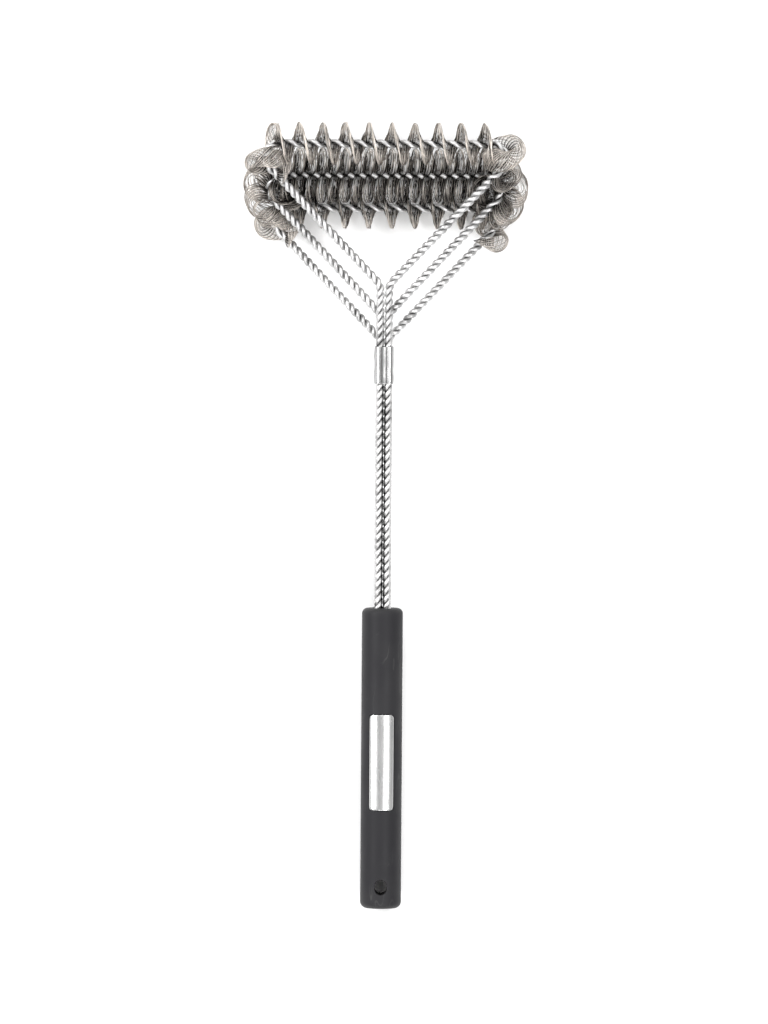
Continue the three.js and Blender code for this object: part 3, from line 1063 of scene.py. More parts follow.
    def core_wire(self, letter: str, sign: float) -> bpy.types.Object:
        """One wire of the core pair, as a helix round the route.

        Its centre is the route's point + sign x offset x the direction that turns with the twist.

        Args:
            letter: Which wire of the pair.
            sign: +1 or -1, its side of the pair.

        Returns:
            The wire.
        """
        end = self.route.middle
        arm_steps, coil_steps = 18, 22
        slow = np.arange(self.reach, end, self.stem.rope_lay / arm_steps)[1:]
        quick = np.arange(-self.reach, self.reach, self.coil_lay / coil_steps)
        from_middle = np.concatenate([[-end], -slow[::-1], quick, [self.reach], slow, [end]])
        point, _, out, _ = self.cross_directions(from_middle)
        half_gap, blend = 0.01 * MM, 3 * MM
        squeezed = self.stem.wire / 2 + half_gap
        spread = self.stem.wire / 2 + self.fine_wire / 2
        offset = np.interp(np.abs(from_middle), [self.reach - blend, self.reach + blend], [spread, squeezed])
        centres = point + sign * offset[:, None] * out
        name = f"{self.tier.name.lower()}_head_core_wire_{letter}"
        radius = self.stem.wire / 2
        piece, angle, along = tube(
            f"{name}_drawn", centres, sign * out, radius, self.wire_sides, self.stem.axes
        )
        round_wire = np.stack([radius * np.cos(angle), radius * np.sin(angle), along], axis=1)
        store(piece, Space.WIRE.value, round_wire)
        # Painted shade: darker colour on each wire's inner side and in the gap between the legs.
        outer_limit, inner_width, inner_shade = -0.25, 0.75, 0.6
        inner_side = np.clip(outer_limit - np.cos(angle), 0, inner_width) / inner_width
        store(piece, "crevice", np.maximum(inner_shade * inner_side, self.painted_shade_between_legs(piece)))
        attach(piece, "root")
        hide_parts(name)
        return piece

    def painted_shade_between_legs(self, piece: bpy.types.Object) -> Array:
        """Painted shade in the narrow gap between the left legs and the right legs: how close a wire's
        vertices lie to it.

        Args:
            piece: The wire.

        Returns:
            A value for each vertex: 1 in the gap, falling to 0 over a width that grows with the depth below
            the outer legs, and 0 on the arms.
        """
        flat = np.empty(3 * len(piece.data.vertices))
        piece.data.vertices.foreach_get("co", flat)
        local = (flat.reshape(-1, 3) - self.stem.axes.origin) @ self.stem.axes.rows.T
        in_stem = local[:, 1] < self.stem.ferrule_top
        outer_width, growth, steepness = 0.75 * MM, 0.4, 1.7
        under = self.stem.leg_spacing + self.stem.rope / 2 - np.abs(local[:, 2])
        width = outer_width + growth * np.maximum(under, 0)
        return np.clip(steepness * (1 - np.abs(local[:, 0]) / width), 0, 1) * in_stem

    def round_corner(self, from_middle: Array, over: float) -> Array:
        """How far round the corner points lie.

        Args:
            from_middle: Distances from the middle of the core.
            over: Distance past the straight core at which the value reaches 1.

        Returns:
            A value from 0 on the straight core to 1.
        """
        return np.clip((np.abs(from_middle) - self.straight) / over, 0, 1)

    def ring_places(self) -> tuple[Array, Array, int]:
        """Where each segment of the fine wire stands along the core.

        The count of rings grows by one for each pitch along the core, and the pitch is smaller round the
        corners.

        Returns:
            Distances from the middle of the core, the count of rings so far, and the whole count.
        """
        samples = 6000
        along = np.linspace(-self.reach, self.reach, samples)
        pitch = np.where(np.abs(along) > self.straight, self.corner_pitch, self.ring_pitch)
        count = np.concatenate([[0], np.cumsum(np.diff(along) / pitch[1:])])
        rings = int(count[-1])
        turn = np.arange(rings * self.ring_segments + 1) / self.ring_segments
        return np.interp(turn, count, along), turn, rings

    def ring_wobble(self, wobble: Wobble, turn: Array, rings: int) -> Array:
        """A smooth random value for each segment of the fine wire.

        Args:
            wobble: How the value changes from ring to ring.
            turn: The count of rings at each segment.
            rings: The whole count.

        Returns:
            One value for each segment.
        """
        rng = np.random.default_rng(wobble.seed + 10 * self.tier.value)
        draw = rng.normal(size=rings + 1 + wobble.window)
        smooth = np.convolve(draw, np.ones(wobble.window) / math.sqrt(wobble.window), mode="valid")
        return np.interp(turn, np.arange(rings + 1), wobble.spread * smooth[: rings + 1])

    def coil(self, coil_name: str, half_turns: int) -> bpy.types.Object:
        """A coil of fine wire: one ring after another, each held in the twist on its inner side.

        At an angle f round its ring the wire's centre is the core's point + (c + r cos f) out + w r sin f
        (cos tilt side + sin tilt direction), where out and side turn with the twist, r is half the ring's
        height, w its width as a share of that and c a little more than r, so that the ring passes between the
        two core wires. The ring's top also leans along the core by its share of splay.

        Args:
            coil_name: Name of the coil within its head.
            half_turns: Half turns by which it is ahead of the far coil.

        Returns:
            The coil.
        """
        from_middle, turn, rings = self.ring_places()
        loose = 1 - (1 - self.corner_loose) * self.round_corner(from_middle, 3 * MM)
        bunching = self.ring_wobble(self.bunching, turn, rings)
        crowding = self.crowding * np.sin(2 * np.pi * turn / self.pairing)
        from_middle = from_middle + bunching * loose + crowding * (1 - loose)
        combed_back = self.tier is Tier.MIDDLE
        combed_angle = np.pi / 2 * (1 - np.cos(self.twist(from_middle)))
        growth = self.combed_growth * combed_back * np.cos(combed_angle) ** 2
        point, direction, out, side = self.cross_directions(from_middle, half_turns, combed_back)
        radius = (self.coil_radius - self.fine_wire / 2) / 2
        radius = radius * (1 + growth + self.ring_wobble(self.stretching, turn, rings))
        lean = self.tilt + loose * self.ring_wobble(self.leaning, turn, rings)
        lean = lean + self.corner_tilt * self.round_corner(from_middle, 5 * MM)
        swing = loose * self.ring_wobble(self.swinging, turn, rings)
        angle = 2 * np.pi * turn
        off_axis = 0.02 * MM
        outward = radius * (1 + np.cos(angle)) + off_axis
        sideways = self.ring_width * radius * np.sin(angle)
        sway = swing * outward
        spread = loose * self.ring_wobble(self.splaying, turn, rings) * outward
        centres = (
            point
            + outward[:, None] * out
            + (sideways * np.cos(lean) + sway)[:, None] * side
            + (sideways * np.sin(lean) + spread)[:, None] * direction
        )
        ring_out = np.cos(angle)[:, None] * out + np.sin(angle)[:, None] * side
        name = f"{self.tier.name.lower()}_head_{coil_name}"
        section = self.fine_wire / 2
        piece, around, along = tube(
            f"{name}_wound", centres, ring_out, section, self.ring_sides, self.stem.axes
        )
        round_wire = np.stack([section * np.cos(around), section * np.sin(around), along], axis=1)
        store(piece, Space.WIRE.value, round_wire)
        # Painted shade: the colour darkens towards the core, round the corners and deep between the heads.
        depth = np.clip(1 - np.hypot(outward, sideways) / self.coil_radius, 0, 1)
        corner = self.round_corner(from_middle, 6 * MM)
        tip_shade, depth_shade, corner_shade = 0.06, 1.25, 0.16
        own_shade = np.clip(tip_shade + depth_shade * depth + corner_shade * corner, 0, 1)
        lit = (1 - own_shade) * (1 - self.painted_shade_between_heads(centres, depth))
        store(piece, "shaded", np.repeat(1 - lit, self.ring_sides))
        tone = self.ring_tones(rings)[np.minimum(turn, rings).astype(int)]
        store(piece, "ring_tone", np.repeat(tone, self.ring_sides))
        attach(piece, "root")
        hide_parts(name)
        return piece

    def ring_tones(self, rings: int) -> Array:
        """Tone of each ring: a wave over as many rings as crowd together, and a random share.

        Args:
            rings: Number of rings.

        Returns:
            One value for each ring and one more, about 0.5.
        """
        tone_seed, wave, disorder = 71, 0.5, 0.3
        loose = np.random.default_rng(tone_seed + self.tier.value).random(rings + 1)
        return 0.5 + wave * np.sin(2 * np.pi * np.arange(rings + 1) / self.pairing) + disorder * (loose - 0.5)

    def painted_shade_between_heads(self, points: Array, depth: Array) -> Array:
        """How deep points lie in the mass of coils between the heads, where the colour is darkened as painted
        shade.

        The value is 1 near a line beside the middle core and falls to 0 over a distance from it. It also
        falls off towards the two ends of the heads and, by about a quarter, at the tips of the rings.

        Args:
            points: Points in brush axes.
            depth: Their depth in their own coil.

        Returns:
            A value from 0 to 1 for each point.
        """
        behind_core, spread, steepness = 5 * MM, 26 * MM, 1.9
        end, fade = 78 * MM, 14 * MM
        at_tip, with_depth = 0.72, 0.28
        centre = (self._core_place(Tier.FAR) + self._core_place(Tier.NEAR)) / 2 - behind_core
        distance = np.hypot(*(points[:, 1:] - centre).T)
        inside = np.clip(steepness * (1 - distance / spread), 0, 1)
        along = np.clip((end - np.abs(points[:, 0])) / fade, 0, 1)
        return inside * along * (at_tip + with_depth * depth)

    def build(self, rope_steel: bpy.types.Material, coil_steel: bpy.types.Material) -> list[bpy.types.Object]:
        """Makes and dresses the head's three pieces.

        Args:
            rope_steel: Material of the core wires.
            coil_steel: Material of the coil.

        Returns:
            The pieces.
        """
        wires = [self.core_wire("a", 1.0), self.core_wire("b", -1.0)]
        for wire in wires:
            wire.data.materials.append(rope_steel)
        coils = [self.coil(name, half_turns) for name, half_turns in self.coils.items()]
        for coil in coils:
            coil.data.materials.append(coil_steel)
        return [*wires, *coils]


@dataclass(frozen=True)
class Crease:
    """A line that the crimp left down the front and the back of a sleeve, darkened as painted shade; with no
    depth it is only a band of painted shade.

    Attributes:
        place: Its place across the front.
        depth: Its depth.
        half_width: Half its width.
        dulling_and_painted_shade: How far its colour is darkened as painted shade, from 0 to 1.
    """

    place: float
    depth: float
    half_width: float
    dulling_and_painted_shade: float

    def bell(self, across: Array) -> Array:
        """Its shape: exp(-(distance from its place / half-width)^2)."""
        return np.exp(-(((across - self.place) / self.half_width) ** 2))


@dataclass
class Ferrule:
    """A sleeve crimped round the six legs.

    Attributes:
        stem: The shared sizes.
        node: CAD node that it stands for.
        wall: Thickness of its wall.
        clearance: Between the legs and the sleeve where it isn't pressed in.
        creases: The lines that the crimp left, with painted shade in them, and two bands of painted shade
            with no depth near the sides.
        lip: Radius of its rounded ends.
        swelling: How far its outside swells and narrows along its length.
        end_pinch: How far it is pinched in at its lower end.
        wander: How far its axis strays sideways.
        side_points: Points on each side of its outline.
    """

    stem: Stem
    node: str
    wall: float = 0.5 * MM
    clearance: float = 0.12 * MM
    # Painted shade in all four; the first and the last have no depth and are only painted bands.
    creases: tuple[Crease, ...] = (
        Crease(-5.5 * MM, 0.0 * MM, 0.6 * MM, 0.85),
        Crease(-1.6 * MM, 0.1 * MM, 0.8 * MM, 0.72),
        Crease(1.3 * MM, 0.05 * MM, 0.32 * MM, 0.75),
        Crease(4.9 * MM, 0.0 * MM, 0.85 * MM, 0.5),
    )
    lip: float = 0.2 * MM
    swelling: float = 0.06 * MM
    end_pinch: float = 0.10 * MM
    wander: float = 0.05 * MM
    side_points: int = 60

    def outline(self, count: int) -> tuple[Array, Array, Array]:
        """Outline of the sleeve's outside, and the directions out of it.

        It is a rectangle with round corners about the corner legs, and each crease is a dip of the front and
        the back.

        Args:
            count: Points on each side of the square that it is mapped from.

        Returns:
            Points across and out, outward directions, and the painted shade at each point, from 0 to 1.
        """
        corner = self.stem.rope / 2 + self.clearance + self.wall
        half_width = self.stem.leg_spacing / 2 + corner
        half_depth = self.stem.leg_spacing + corner
        points = rounded_outline(square_ring(count), half_width, half_depth, corner)
        following = np.roll(points, -1, axis=0) - np.roll(points, 1, axis=0)
        outward = unit(np.stack([following[:, 1], -following[:, 0]], axis=1))
        outward *= np.sign(np.sum(outward * points, axis=1, keepdims=True))
        across = points[:, 0].copy()
        dip = sum(crease.depth * crease.bell(across) for crease in self.creases)
        facing = np.clip((np.abs(points[:, 1]) - self.stem.leg_spacing) / corner, 0, 1)
        points[:, 1] -= np.sign(points[:, 1]) * dip * facing
        # Painted shade: the creases and the side bands darken the colour.
        shade = sum(crease.dulling_and_painted_shade * crease.bell(across) for crease in self.creases)
        return points, outward, np.clip(shade, 0, 1)

    def build(self, steel: bpy.types.Material) -> bpy.types.Object:
        """Carries the wall's section round the outline.

        The section runs up the outside, round the top lip, down the inside and round the bottom lip. The
        outside swells and narrows by a few hundredths of a millimetre along its length, as crimping leaves
        it.

        Args:
            steel: Material of the sleeve.

        Returns:
            The sleeve.
        """
        outline, outward, dulling_and_painted_shade = self.outline(self.side_points)
        low, high = self.stem.axes.span(self.node)
        bottom, top = low[1], high[1]
        lip_points, rows = 4, 22
        lip_angles = np.linspace(0, np.pi / 2, lip_points)
        rise = np.linspace(bottom + self.lip, top - self.lip, rows)
        round_in, round_up = self.lip * (1 - np.cos(lip_angles)), self.lip * np.sin(lip_angles)
        inset = np.concatenate([
            np.zeros(len(rise)), round_in[1:], self.wall - round_in[::-1][:-1],
            np.full(len(rise), self.wall), self.wall - round_in[1:], round_in[::-1][:-1],
        ])
        top_lip, bottom_lip = top - self.lip, bottom + self.lip
        height = np.concatenate([
            rise, top_lip + round_up[1:], top_lip + round_up[::-1][:-1],
            rise[::-1], bottom_lip - round_up[1:], bottom_lip - round_up[::-1][:-1],
        ])
        share = (height - bottom) / (top - bottom)
        swell_waves, swell_phase, wander_waves, pinched_sixth = 1.5, 0.6, 2.3, 6
        wave = self.swelling * np.sin(2 * np.pi * share * swell_waves + swell_phase)
        swell = wave - self.end_pinch * np.clip(1 - share * pinched_sixth, 0, 1)
        flat = outline[:, None] + outward[:, None] * (swell - inset)[None, :, None]
        across = flat[..., 0] + self.wander * np.sin(2 * np.pi * share * wander_waves)
        points = np.stack([across, np.broadcast_to(height, flat.shape[:2]), flat[..., 1]], axis=-1)
        faces = grid_faces(len(outline), len(height), True, True).tolist()
        piece = make_piece(f"{self.node}_crimped", self.stem.axes.place(points.reshape(-1, 3)), faces)
        # Painted shade of the creases and the side bands.
        store(piece, "crease", np.repeat(dulling_and_painted_shade, len(height)))
        close_up(piece)
        piece.data.materials.append(steel)
        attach(piece, "root")
        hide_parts(self.node)
        return piece


@dataclass(frozen=True)
class Window:
    """A part of the grip's outer skin that is left out for a hole or a recess.

    Attributes:
        first: Its first row.
        last: Its last row.
        half: Its columns on each side of its middle.
        middles: Columns at its middles: 0 is the front and half the columns is the back.
    """

    first: int
    last: int
    half: int
    middles: tuple[int, ...]


@dataclass(frozen=True)
class Opening:
    """A hole or a recess in the front of the grip, with round corners and a rounded edge.

    Attributes:
        centre: Height of its middle.
        half: Half its width and half its length.
        corner: Radius of its corners.
        edge: Radius of its rounded edge.
        floor: Depth of its floor below the surface, or None where it goes through to the middle plane.
    """

    centre: float
    half: tuple[float, float]
    corner: float
    edge: float
    floor: float | None = None


@dataclass
class Grip:
    """The moulded grip with its hanging hole, its recess for the nameplate and its socket.

    Attributes:
        stem: The shared sizes.
        columns: Vertices round the grip, a multiple of eight.
        butt_radius: Radius of the butt's edge.
        shoulder_rise: Height of the rounded shoulder.
        shoulder_inset: Width of the rounded shoulder.
        hole_half: Half the width and half the length of the hanging hole.
        hole_height: From the butt to the middle of the hole.
        hole_edge: Radius of the hole's rounded edge.
        recess_gap: Gap between the nameplate and the recess all round.
        recess_depth: Depth of the recess below the grip's surface.
        recess_edge: Radius of the recess's rounded edge.
        mouth_gap: Gap between the legs and the mouth of the socket.
        mouth_depth: Height of the socket's narrow mouth.
        mouth_edge: Radius of the mouth's rounded edge.
        widening: How much wider the socket is than its mouth, all round.
        socket_depth: Depth of the socket.
        window_margin: Between an opening's rounded edge and the edge of its window.
        radius: Radius of the grip.
        length: Its length.
        plate: The nameplate in its recess.
    """

    stem: Stem
    columns: int = 160
    butt_radius: float = 4.0 * MM
    shoulder_rise: float = 3.2 * MM
    shoulder_inset: float = 3.4 * MM
    hole_half: tuple[float, float] = (3.5 * MM, 4.4 * MM)
    hole_height: float = 12.6 * MM
    hole_edge: float = 0.35 * MM
    recess_gap: float = 0.3 * MM
    recess_depth: float = 1.3 * MM
    recess_edge: float = 0.3 * MM
    mouth_gap: float = 0.15 * MM
    mouth_depth: float = 4.0 * MM
    mouth_edge: float = 0.35 * MM
    widening: float = 1.0 * MM
    socket_depth: float = 44.0 * MM
    window_margin: float = 1.4 * MM
    radius: float = field(init=False)
    length: float = field(init=False)
    plate: "Nameplate" = field(init=False)

    def __post_init__(self) -> None:
        """Reads the grip's size off its CAD node."""
        low, high = self.stem.axes.span("handle_grip")
        self.radius = (high[0] - low[0]) / 2
        self.length = high[1]
        self.plate = Nameplate(self.stem)

    def surface(self, across: Array, height: Array, sink: Array | float = 0.0) -> Array:
        """Points on the front of the grip: z = sqrt(radius^2 - x^2) less how far they are sunk.

        Args:
            across: Distance across, x.
            height: Height above the butt, y.
            sink: Depth below the surface.

        Returns:
            Points in brush axes.
        """
        out = np.sqrt(self.radius**2 - across**2) - sink
        return np.stack(np.broadcast_arrays(across, height, out), axis=-1)

    def window_columns(self, half_width: float) -> int:
        """Columns of the outer skin, on each side of the front, that a window of that half-width takes."""
        angle = math.asin(half_width / self.radius)
        return math.ceil(angle / (2 * math.pi / self.columns))

    def window_rows(self) -> tuple[Array, tuple[Window, Window]]:
        """Heights of the outer skin's rows, and the windows that are left out of it.

        Returns:
            The heights, the window of the hanging hole and the window of the recess.
        """
        margin = self.window_margin
        hole_reach = self.hole_half[1] + self.hole_edge + margin
        recess_rim = self.recess_gap + self.recess_edge
        stops = [
            self.butt_radius,
            self.hole_height - hole_reach,
            self.hole_height + hole_reach,
            self.plate.bottom - self.recess_gap - self.recess_edge - margin,
            self.plate.top + self.recess_gap + self.recess_edge + margin,
            self.length - self.shoulder_rise,
        ]
        counts = [2, 12, 20, 44, 24]
        pieces = [np.linspace(stops[i], stops[i + 1], count + 1)[:-1] for i, count in enumerate(counts)]
        heights = np.concatenate([*pieces, [stops[-1]]])
        first = np.cumsum([0, *counts])
        hole_columns = self.window_columns(self.hole_half[0] + self.hole_edge + margin)
        plate_columns = self.window_columns(self.plate.half_width + recess_rim + margin / 2)
        hole = Window(first[1], first[2], hole_columns, (0, self.columns // 2))
        return heights, (hole, Window(first[3], first[4], plate_columns, (0,)))

    def outer_skin(self) -> tuple[Array, Array]:
        """The turned outside: butt, wall and shoulder, with the windows left out.

        A point is (r sin a, y, r cos a), where the angle a runs round the grip and r and y follow its
        profile: a quarter circle at the butt, the straight wall and a quarter ellipse at the shoulder.

        Returns:
            Vertices and quads.
        """
        heights, windows = self.window_rows()
        quarter_points, flat_shares = 9, np.array([0.0, 0.35, 0.7])
        quarter = np.linspace(0, np.pi / 2, quarter_points)
        flat = flat_shares * (self.radius - self.butt_radius)
        butt_r = np.concatenate([flat, self.radius - self.butt_radius + self.butt_radius * np.sin(quarter)])
        butt_y = np.concatenate([np.zeros(len(flat)), self.butt_radius * (1 - np.cos(quarter))])
        top_r = self.radius - self.shoulder_inset * (1 - np.cos(quarter[1:]))
        top_y = self.length - self.shoulder_rise * (1 - np.sin(quarter[1:]))
        profile_r = np.concatenate([butt_r[:-1], np.full(len(heights), self.radius), top_r])
        profile_y = np.concatenate([butt_y[:-1], heights, top_y])
        angle = 2 * np.pi * np.arange(self.columns) / self.columns
        points = np.stack([
            profile_r[:, None] * np.sin(angle),
            np.broadcast_to(profile_y[:, None], (len(profile_y), self.columns)),
            profile_r[:, None] * np.cos(angle),
        ], axis=-1)
        quads = grid_faces(len(profile_y), self.columns, False, True).reshape(-1, self.columns, 4)
        keep = np.ones(quads.shape[:2], bool)
        offset = len(butt_r) - 1
        for window in windows:
            for middle in window.middles:
                columns = np.arange(middle - window.half, middle + window.half) % self.columns
                keep[offset + window.first : offset + window.last, columns] = False
        return points.reshape(-1, 3), quads[keep]

    def window_frame(self, window: Window) -> Array:
        """Points round the edge of a window in the front, in the plane of x and y.

        Args:
            window: The window.

        Returns:
            Points in a closed ring.
        """
        heights, _ = self.window_rows()
        half = window.half
        across = self.radius * np.sin(2 * np.pi * np.arange(-half, half + 1) / self.columns)
        rows = heights[window.first : window.last + 1]
        ring = [
            np.stack([across[:-1], np.full(2 * half, rows[-1])], axis=1),
            np.stack([np.full(len(rows) - 1, across[-1]), rows[::-1][:-1]], axis=1),
            np.stack([across[::-1][:-1], np.full(2 * half, rows[0])], axis=1),
            np.stack([np.full(len(rows) - 1, across[0]), rows[:-1]], axis=1),
        ]
        return np.concatenate(ring)

    def opening(self, window: Window, shape: Opening) -> tuple[Array, Array]:
        """The surface between a window's edge and the bottom of the hole or recess inside it.

        Rings run from the window's edge to the opening's outline, over its rounded edge, whose offset is
        e (1 - sin a) and whose depth is e (1 - cos a), and then straight in.

        Args:
            window: The window that it is in.
            shape: The hole or the recess.

        Returns:
            Vertices and quads.
        """
        frame_ring = self.window_frame(window)
        half, corner, edge, floor = shape.half, shape.corner, shape.edge, shape.floor
        middle = np.array([0.0, shape.centre])
        reach = np.abs(frame_ring - middle).max(axis=0)
        square = (frame_ring - middle) / reach
        square /= np.abs(square).max(axis=1, keepdims=True)

        def ring(offset: float) -> Array:
            """The opening's outline, larger by an offset all round."""
            return middle + rounded_outline(square, half[0] + offset, half[1] + offset, corner + offset)

        rim = ring(edge)
        shares = np.array([0.0, 0.3, 0.6, 0.85])
        rings = [self.surface(*(frame_ring + share * (rim - frame_ring)).T) for share in shares]
        for turn in np.linspace(0, np.pi / 2, 6):
            outline = ring(edge * (1 - math.sin(turn)))
            rings.append(self.surface(*outline.T, edge * (1 - math.cos(turn))))
        wall = ring(0.0)
        if floor is None:
            start = self.surface(*wall.T, edge)
            for share in (0.3, 0.65, 1.0):
                rings.append(start * np.array([1, 1, 1 - share]))
        else:
            rings.append(self.surface(*wall.T, floor))
            for share in (0.66, 0.33, 0.0):
                shrink = half[0] * (1 - share)
                outline = middle + rounded_outline(square, half[0] - shrink, half[1] - shrink, corner * share)
                rings.append(self.surface(*outline.T, floor))
        points = np.stack(rings)
        return points.reshape(-1, 3), grid_faces(len(rings), len(frame_ring), False, True)

    def socket(self) -> tuple[Array, Array]:
        """The top of the grip from its shoulder inwards, and the socket that the legs stand in.

        Rings run from the shoulder's inner circle to the outline of the narrow mouth, down it, out to the
        wider socket and down to its floor.

        Returns:
            Vertices and quads.
        """
        angle = 2 * np.pi * np.arange(self.columns) / self.columns
        circle = np.stack([np.sin(angle), np.cos(angle)], axis=1)
        square = circle / np.abs(circle).max(axis=1, keepdims=True)
        corner = self.stem.rope / 2 + self.mouth_gap
        mouth = (self.stem.leg_spacing / 2 + corner, self.stem.leg_spacing + corner)
        edge = self.mouth_edge

        def ring(offset: float, height: float) -> Array:
            """The mouth's outline, larger by an offset, at a height."""
            flat = rounded_outline(square, mouth[0] + offset, mouth[1] + offset, corner + offset)
            return np.stack([flat[:, 0], np.full(self.columns, height), flat[:, 1]], axis=1)

        shoulder = (self.radius - self.shoulder_inset) * circle
        start = np.stack([shoulder[:, 0], np.full(self.columns, self.length), shoulder[:, 1]], axis=1)
        rim = ring(edge, self.length)
        rings = [start + share * (rim - start) for share in (0.0, 0.5)]
        rings += [
            ring(edge * (1 - math.sin(turn)), self.length - edge * (1 - math.cos(turn)))
            for turn in np.linspace(0, np.pi / 2, 5)
        ]
        mouth_bottom, floor = self.length - self.mouth_depth, self.length - self.socket_depth
        wide = self.widening
        rings += [ring(0.0, mouth_bottom), ring(wide, mouth_bottom - wide), ring(wide, floor)]
        last = rings[-1]
        axis = np.array([0.0, 1.0, 0.0])
        rings += [last * (axis + share * (1 - axis)) for share in (0.5, 0.0)]
        points = np.stack(rings)
        return points.reshape(-1, 3), grid_faces(len(rings), self.columns, False, True)

    def build(self, plastic: bpy.types.Material) -> bpy.types.Object:
        """Joins the skin, the hole, the recess and the socket into one closed moulding.

        Args:
            plastic: Material of the grip.

        Returns:
            The grip.
        """
        _, (hole_window, recess_window) = self.window_rows()
        hole_shape = Opening(self.hole_height, self.hole_half, self.hole_half[0], self.hole_edge)
        hole = self.opening(hole_window, hole_shape)
        back = (hole[0] * np.array([1, 1, -1]), hole[1])
        plate = self.plate
        recess_half = (plate.half_width + self.recess_gap, plate.half_length + self.recess_gap)
        corner = plate.corner + self.recess_gap
        recess_shape = Opening(plate.centre, recess_half, corner, self.recess_edge, self.recess_depth)
        recess = self.opening(recess_window, recess_shape)
        vertices, faces = [], []
        for points, quads in (self.outer_skin(), hole, back, recess, self.socket()):
            faces += (quads + sum(len(part) for part in vertices)).tolist()
            vertices.append(points)
        piece = make_piece("handle_grip_moulded", self.stem.axes.place(np.concatenate(vertices)), faces)
        close_up(piece)
        self.mark_rubbed(piece)
        piece.data.materials.append(plastic)
        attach(piece, "root")
        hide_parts("handle_grip")
        return piece

    def mark_rubbed(self, piece: bpy.types.Object) -> None:
        """Marks the shoulder and the butt, which hands and hooks rub, with a value that fades away from them.

        Args:
            piece: The grip.
        """
        flat = np.empty(3 * len(piece.data.vertices))
        piece.data.vertices.foreach_get("co", flat)
        height = ((flat.reshape(-1, 3) - self.stem.axes.origin) @ self.stem.axes.rows.T)[:, 1]
        from_end, fade = np.minimum(height, self.length - height), 5 * MM
        store(piece, "rubbed", np.clip(1 - from_end / fade, 0, 1) ** 2)


@dataclass
class Nameplate:
    """The curved plate in the grip's recess, left plain.

    Attributes:
        stem: The shared sizes.
        corner: Radius of its corners.
        edge: Radius of its upper edge.
        thickness: Thickness of the sheet.
        narrowing: How much narrower it is than its CAD node, on each side.
        side_points: Points on each side of its outline.
        bottom: Height of its lower end, from its CAD node, as are the values that follow.
        top: Height of its upper end.
        half_width: Half its width, measured straight across.
        out: How far its middle stands from the axis of the grip.
    """

    stem: Stem
    corner: float = 2.1 * MM
    edge: float = 0.3 * MM
    thickness: float = 0.8 * MM
    narrowing: float = 0.45 * MM
    side_points: int = 40
    bottom: float = field(init=False)
    top: float = field(init=False)
    half_width: float = field(init=False)
    out: float = field(init=False)

    def __post_init__(self) -> None:
        """Reads the plate's place and size off its CAD node."""
        low, high = self.stem.axes.span("nameplate")
        self.bottom, self.top = low[1], high[1]
        self.half_width = (high[0] - low[0]) / 2 - self.narrowing
        self.out = high[2]

    @property
    def half_length(self) -> float:
        """Half its length."""
        return (self.top - self.bottom) / 2

    @property
    def centre(self) -> float:
        """Height of its middle."""
        return (self.top + self.bottom) / 2

    def build(self, steel: bpy.types.Material) -> bpy.types.Object:
        """Lays rings from the middle of the top face, over the rounded edge, to the middle of the under face.

        A point of a ring is (x, y, sqrt(out^2 - x^2) - depth), where x and y run round a rectangle with round
        corners.

        Args:
            steel: Material of the plate.

        Returns:
            The plate.
        """
        square = square_ring(self.side_points)
        top_rings, edge_rings, under_rings, side_share = 8, 5, 6, 0.6
        turns = np.linspace(0, np.pi / 2, edge_rings)
        top_insets = np.linspace(self.half_width, self.edge, top_rings + 1)[:-1]
        insets = [*top_insets, *(self.edge * (1 - np.sin(turns)))]
        depths = [*np.zeros(top_rings), *(self.edge * (1 - np.cos(turns)))]
        insets += [0.0, *np.linspace(0, self.half_width, under_rings)]
        depths += [self.thickness * side_share, *np.full(under_rings, self.thickness)]
        rings = []
        for inset, depth in zip(insets, depths):
            half_width, half_length = self.half_width - inset, self.half_length - inset
            flat = rounded_outline(square, half_width, half_length, max(self.corner - inset, 0.0))
            out = np.sqrt(self.out**2 - flat[:, 0] ** 2) - depth
            rings.append(np.stack([flat[:, 0], flat[:, 1] + self.centre, out], axis=1))
        faces = grid_faces(len(rings), len(square), False, True).tolist()
        piece = make_piece("nameplate_curved", self.stem.axes.place(np.concatenate(rings)), faces)
        close_up(piece)
        piece.data.materials.append(steel)
        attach(piece, "root")
        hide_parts("nameplate")
        return piece


# ------------------------------------------------------------------------------------------------------------
# Studio
# ------------------------------------------------------------------------------------------------------------


@dataclass(frozen=True)
class Light:
    """A soft rectangular light.

    Attributes:
        name: Its name.
        place: Where it hangs.
        size: Its width and height.
        watts: Its power.
    """

    name: str
    place: tuple[float, float, float]
    size: tuple[float, float]
    watts: float


